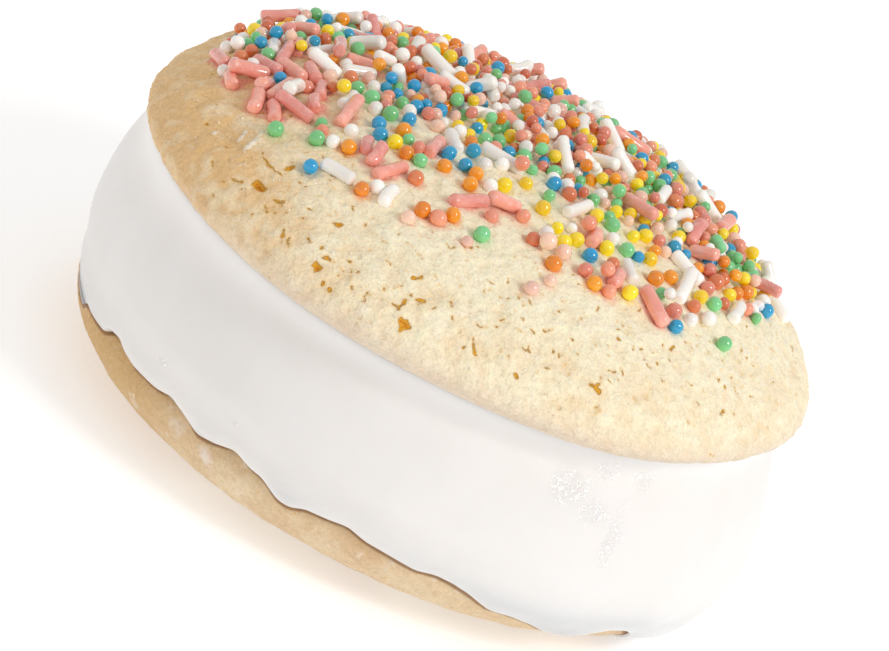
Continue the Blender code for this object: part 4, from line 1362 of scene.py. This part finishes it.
def candy_material(name, colour, cloud):
    """Sugar shell of one colour, softened and cloudy by this much."""
    material, tree, shader = new_material(
        name, subsurface_weight=0.45, subsurface_radius=(1.0, 0.8, 0.6),
        subsurface_scale=0.6 * MM, specular_ior_level=0.1, coat_weight=0.8, coat_roughness=0.06,
        coat_ior=1.8,
    )
    shell = place_group(tree, "sugar_shell", build_candy_group, colour=colour, cloud=cloud)
    finish_surface(tree, shader, shell["Colour"], shell["Roughness"], shell["Height"], 0.03 * MM)
    return material


def grain_material():
    """Sugar crystals: clear to white, with bright faces."""
    material, tree, shader = new_material(
        "sugar_crystal", specular_ior_level=0.8, coat_weight=0.6, coat_roughness=0.05,
    )
    cloud = noise_texture(tree, object_place(tree), 0.3 * MM, 2.0)
    colour = mix(tree, remap(tree, cloud, 0.4, 0.6), CRYSTAL_PALE, CRYSTAL_TAN)
    finish_surface(tree, shader, colour, remap(tree, cloud, 0.3, 0.7, 0.08, 0.25))
    return material


class SANDWICH_OT_lower_cookie(bpy.types.Operator):
    """Lower cookie, dome down, with a fine tan crumb"""

    bl_idname = "sandwich.lower_cookie"
    bl_label = "Lower Cookie"

    def execute(self, context):
        body, _ = turned_body("lower_dough", BASE_STEPS, as_outline(base_section))
        points, normals = coordinates(body.data), normals_of(body.data)
        out = np.hypot(points[:, 0], points[:, 1])
        side = eased(points[:, 2] / (1.5 * MM)) * eased((out - 28 * MM) / (4 * MM))
        relief = 0.5 * sizes().bump_height * noise_at(points, 2.2 * MM, 2.0)
        relief += sizes().grain_height * noise_at(points, 0.8 * MM, 6.0)
        points += normals * (relief * side)[:, None]
        points[:, 2] = np.maximum(points[:, 2], 0.0)
        move_points(body.data, points)
        turns = np.linspace(-math.pi, math.pi, 361)
        edge = np.interp(angles_of(points), turns, [run_height(turn) for turn in turns])
        smeared = np.zeros(len(points))
        for angle, height, size in SMEARS:
            turn = math.radians(angle)
            radius = base_profile(turn, share_at_height(turn, height * MM))[0]
            centre = np.array((radius * math.cos(turn), radius * math.sin(turn), height * MM))
            away = np.linalg.norm(points - centre, axis=1) / (size * MM)
            smeared = np.maximum(smeared, eased(1.3 - away + 0.4 * noise_at(points, 0.9 * MM, 9.0)))
        # Browning towards -X is partly painted shade of the side away from the light
        write_attributes(
            body.data, smeared=smeared, browned=0.95 * towards_left(points, BASE_BROWN),
            # Wet near the ice cream's edge, with painted contact shadow right at it
            wetted=eased(1 - (edge - points[:, 2]) / (3.0 * MM)),
        )
        ride(body, "bottom_cookie", tan_dough_material())
        return {"FINISHED"}


class SANDWICH_OT_ice_cream(bpy.types.Operator):
    """Ice cream, bulging between the cookies and run down over the lower one"""

    bl_idname = "sandwich.ice_cream"
    bl_label = "Ice Cream"

    def execute(self, context):
        body, ring = turned_body("vanilla_ice_cream", ICE_STEPS, as_outline(ice_section))
        points, normals = coordinates(body.data), normals_of(body.data)
        first, last = len(ICE_UPPER), len(ICE_UPPER) + len(ICE_WALL)
        wall = eased((ring - first) / 8) * eased((last - ring) / 6)
        wet = np.zeros(len(points))
        for angle, height, wide, tall in WET_PATCHES:
            turn = np.angle(np.exp(1j * (angles_of(points) - math.radians(angle))))
            away = np.hypot(turn / math.radians(wide), (points[:, 2] - height * MM) / (tall * MM))
            wet = np.maximum(wet, eased(1.3 - away + 0.5 * noise_at(points, 2.5 * MM, 4.0)))
        relief = sizes().cream_ripple * noise_at(points, 9 * MM, 1.0)
        relief += WET_RIPPLE * wet * noise_at(points, 0.9 * MM, 3.0)
        move_points(body.data, points + normals * (relief * wall)[:, None])
        # Painted light: how strongly the wall glows under the upper cookie's rim, growing with
        # height
        groove = eased((points[:, 2] - GROOVE_Z) / GROOVE_HEIGHT)
        write_attributes(body.data, wet=wet * wall, groove=groove)
        ride(body, "ice_cream", cream_material())
        return {"FINISHED"}


def dough_bumps(points):
    """Unevenness of the upper cookie at each point, from about -1 to 1."""
    return sum(share * noise_at(points, width, seed) for share, width, seed in DOUGH_BUMPS)


class SANDWICH_OT_upper_cookie(bpy.types.Operator):
    """Upper cookie: a porous pale dome with pits, and stain from the sprinkles, partly painted
    bounce light
    """

    bl_idname = "sandwich.upper_cookie"
    bl_label = "Upper Cookie"

    def execute(self, context):
        body, ring = turned_body("upper_dough", TOP_STEPS, top_outline)
        points, normals = coordinates(body.data), normals_of(body.data)
        over = eased((len(TOP_OVER) + 6 - ring) / 6)
        bumps = dough_bumps(points)
        relief = sizes().bump_height * bumps
        relief += sizes().grain_height * noise_at(points, 0.5 * MM, 17.0)
        pit = stroke_value(points, pits_in_dome()) * over
        flake = stroke_value(points, on_dome(SEEN_FLAKES))
        relief -= PIT_DEPTH * eased((pit - 0.45) / 0.9)
        relief += FLAKE_HEIGHT * eased((flake - 0.3) / 0.6)
        move_points(body.data, points + normals * (relief * over)[:, None])
        radial = np.hypot(points[:, 0] - TOP_CENTRE[0], points[:, 1] - TOP_CENTRE[1])
        near_dome = (radial < PATCH_RADIUS + 6 * MM) & (ring < len(TOP_OVER))
        # Browning at the rim and towards -X; towards -X it is partly painted shade of the side away
        # from the light
        left = towards_left(points, TOP_BROWN)
        low = eased((TOP_DOME_Z - 2 * MM - points[:, 2]) / (3 * MM))
        rim = eased((radial - 34 * MM) / (5 * MM)) * low
        patchy = 0.9 * noise_at(points, 3.4 * MM, 31.0) + 0.7 * noise_at(points, 1.3 * MM, 37.0)
        patchy = eased(0.5 + patchy)
        browned = left * (0.68 + 0.34 * patchy) + 0.45 * rim * patchy * (0.5 + 0.5 * left)
        soaked = eased((TOP_WIDEST_Z + 2.4 * MM - points[:, 2]) / (4.2 * MM)) * (1 - 0.9 * left)
        write_attributes(
            # Colour round the sprinkles, partly stain and partly painted bounce light
            body.data, pit=pit, flake=flake, dye=dye_of(points, near_dome),
            # The last value on the next line is painted shade in the low places between the bumps
            browned=np.clip(browned, 0, 1), soaked=0.75 * soaked, hollow=eased(-bumps * 1.4),
        )
        ride(body, "top_cookie", pale_dough_material())
        return {"FINISHED"}


class SANDWICH_OT_sprinkles(bpy.types.Operator):
    """Sugar sprinkles: balls of eight colours, and pink and white rods"""

    bl_idname = "sandwich.sprinkles"
    bl_label = "Sprinkles"

    def execute(self, context):
        draw = random.Random(SPRINKLE_SEED + 1)
        ball, rod = ball_template(), rod_template()
        for colour in (*BALL_CHANCES, "pink"):
            cloud = CLOUDS["soft" if colour == "pink" else "hard"]
            material = candy_material(f"sugar_{colour}", getattr(colours(), colour), cloud)
            same = [s for s in sprinkle_field() if s.colour == colour]
            balls = [placed_ball(s, draw) for s in same if not s.half_length]
            rods = [placed_rod(s, draw) for s in same if s.half_length]
            for kind, template, placed in (("balls", ball, balls), ("rods", rod, rods)):
                if placed:
                    piece = joined_copies(f"{kind}_{colour}", template, placed)
                    ride(piece, "top_cookie", material=material)
        return {"FINISHED"}


class SANDWICH_OT_sugar_grains(bpy.types.Operator):
    """Fine sugar grains that glint on the upper cookie round the sprinkles"""

    bl_idname = "sandwich.sugar_grains"
    bl_label = "Sugar Grains"

    def execute(self, context):
        draw = random.Random(GRAIN_SEED)
        places = [from_cookie_centre(x, y) for x, y in SEEN_GRAINS]
        for _ in range(GRAIN_COUNT):
            places.append(scattered(draw, GRAIN_SPREAD))
        grounds = np.array([(x, y, dome_height(x, y)) for x, y in places])
        grounds[:, 2] += sizes().bump_height * dough_bumps(grounds)
        grains = [placed_grain(ground, draw) for ground in grounds]
        piece = joined_copies("sugar_grains", grain_template(), grains)
        ride(piece, "top_cookie", material=grain_material())
        return {"FINISHED"}


class SANDWICH_OT_stage(bpy.types.Operator):
    """Plain pale floor, soft studio light, and the camera at the photograph's angle"""

    bl_idname = "sandwich.stage"
    bl_label = "Stage"

    def execute(self, context):
        deselect_all()
        bpy.ops.mesh.primitive_plane_add(size=4.0, location=(0, 0, 0))
        floor = bpy.context.object
        floor.name = "studio_floor"
        material, _, _ = new_material(
            "studio_paper", base_color=FLOOR_COLOUR, roughness=0.9,
            emission_color=(1.0, 1.0, 1.0, 1.0), emission_strength=FLOOR_GLOW,
        )
        floor.data.materials.append(material)
        world = bpy.data.worlds.new("studio_light")
        world.use_nodes = True
        background = world.node_tree.nodes["Background"]
        background.inputs["Color"].default_value = WORLD_COLOUR
        background.inputs["Strength"].default_value = WORLD_LIGHT
        bpy.context.scene.world = world
        for name, place, size, power in LIGHTS:
            bpy.ops.object.light_add(type="AREA", location=place)
            light = bpy.context.object
            light.name, light.data.size, light.data.energy = name, size, power
            towards = Vector(AIM) - light.location
            light.rotation_euler = towards.to_track_quat("-Z", "Y").to_euler()
        back = Vector((0, -math.cos(CAMERA_DOWN), math.sin(CAMERA_DOWN)))
        bpy.ops.object.camera_add(location=Vector(AIM) + back * CAMERA_DISTANCE)
        camera = bpy.context.object
        camera.rotation_mode = "QUATERNION"
        level = (-back).to_track_quat("-Z", "Y")
        camera.rotation_quaternion = level @ Quaternion((0, 0, 1), CAMERA_ROLL)
        camera.data.lens = LENS
        camera.data.clip_start, camera.data.clip_end = CLIP_RANGE
        bpy.context.scene.camera = camera
        bpy.context.scene.view_settings.view_transform = "Standard"
        return {"FINISHED"}


class SANDWICH_PT_panel(bpy.types.Panel):
    """Lists the pieces of the sandwich"""

    bl_label = "Ice Cream Sandwich"
    bl_idname = "SANDWICH_PT_panel"
    bl_space_type = "VIEW_3D"
    bl_region_type = "UI"
    bl_category = "Sandwich"

    def draw(self, context):
        for operator in OPERATORS:
            self.layout.operator(operator.bl_idname)
        for group in (context.scene.sandwich_sizes, context.scene.sandwich_colours):
            for name in group.bl_rna.properties.keys():
                if name not in ("rna_type", "name"):
                    self.layout.prop(group, name)


OPERATORS = (
    SANDWICH_OT_lower_cookie, SANDWICH_OT_ice_cream, SANDWICH_OT_upper_cookie,
    SANDWICH_OT_sprinkles, SANDWICH_OT_sugar_grains, SANDWICH_OT_stage,
)
CLASSES = (SandwichSizes, SandwichColours, *OPERATORS, SANDWICH_PT_panel)


def register():
    for cls in CLASSES:
        bpy.utils.register_class(cls)
    bpy.types.Scene.sandwich_sizes = bpy.props.PointerProperty(type=SandwichSizes)
    bpy.types.Scene.sandwich_colours = bpy.props.PointerProperty(type=SandwichColours)


def unregister():
    del bpy.types.Scene.sandwich_colours
    del bpy.types.Scene.sandwich_sizes
    for cls in reversed(CLASSES):
        bpy.utils.unregister_class(cls)


def main():
    register()
    bpy.ops.sandwich.lower_cookie()
    bpy.ops.sandwich.ice_cream()
    bpy.ops.sandwich.upper_cookie()
    bpy.ops.sandwich.sprinkles()
    bpy.ops.sandwich.sugar_grains()
    bpy.ops.sandwich.stage()


if __name__ == "__main__":
    main()
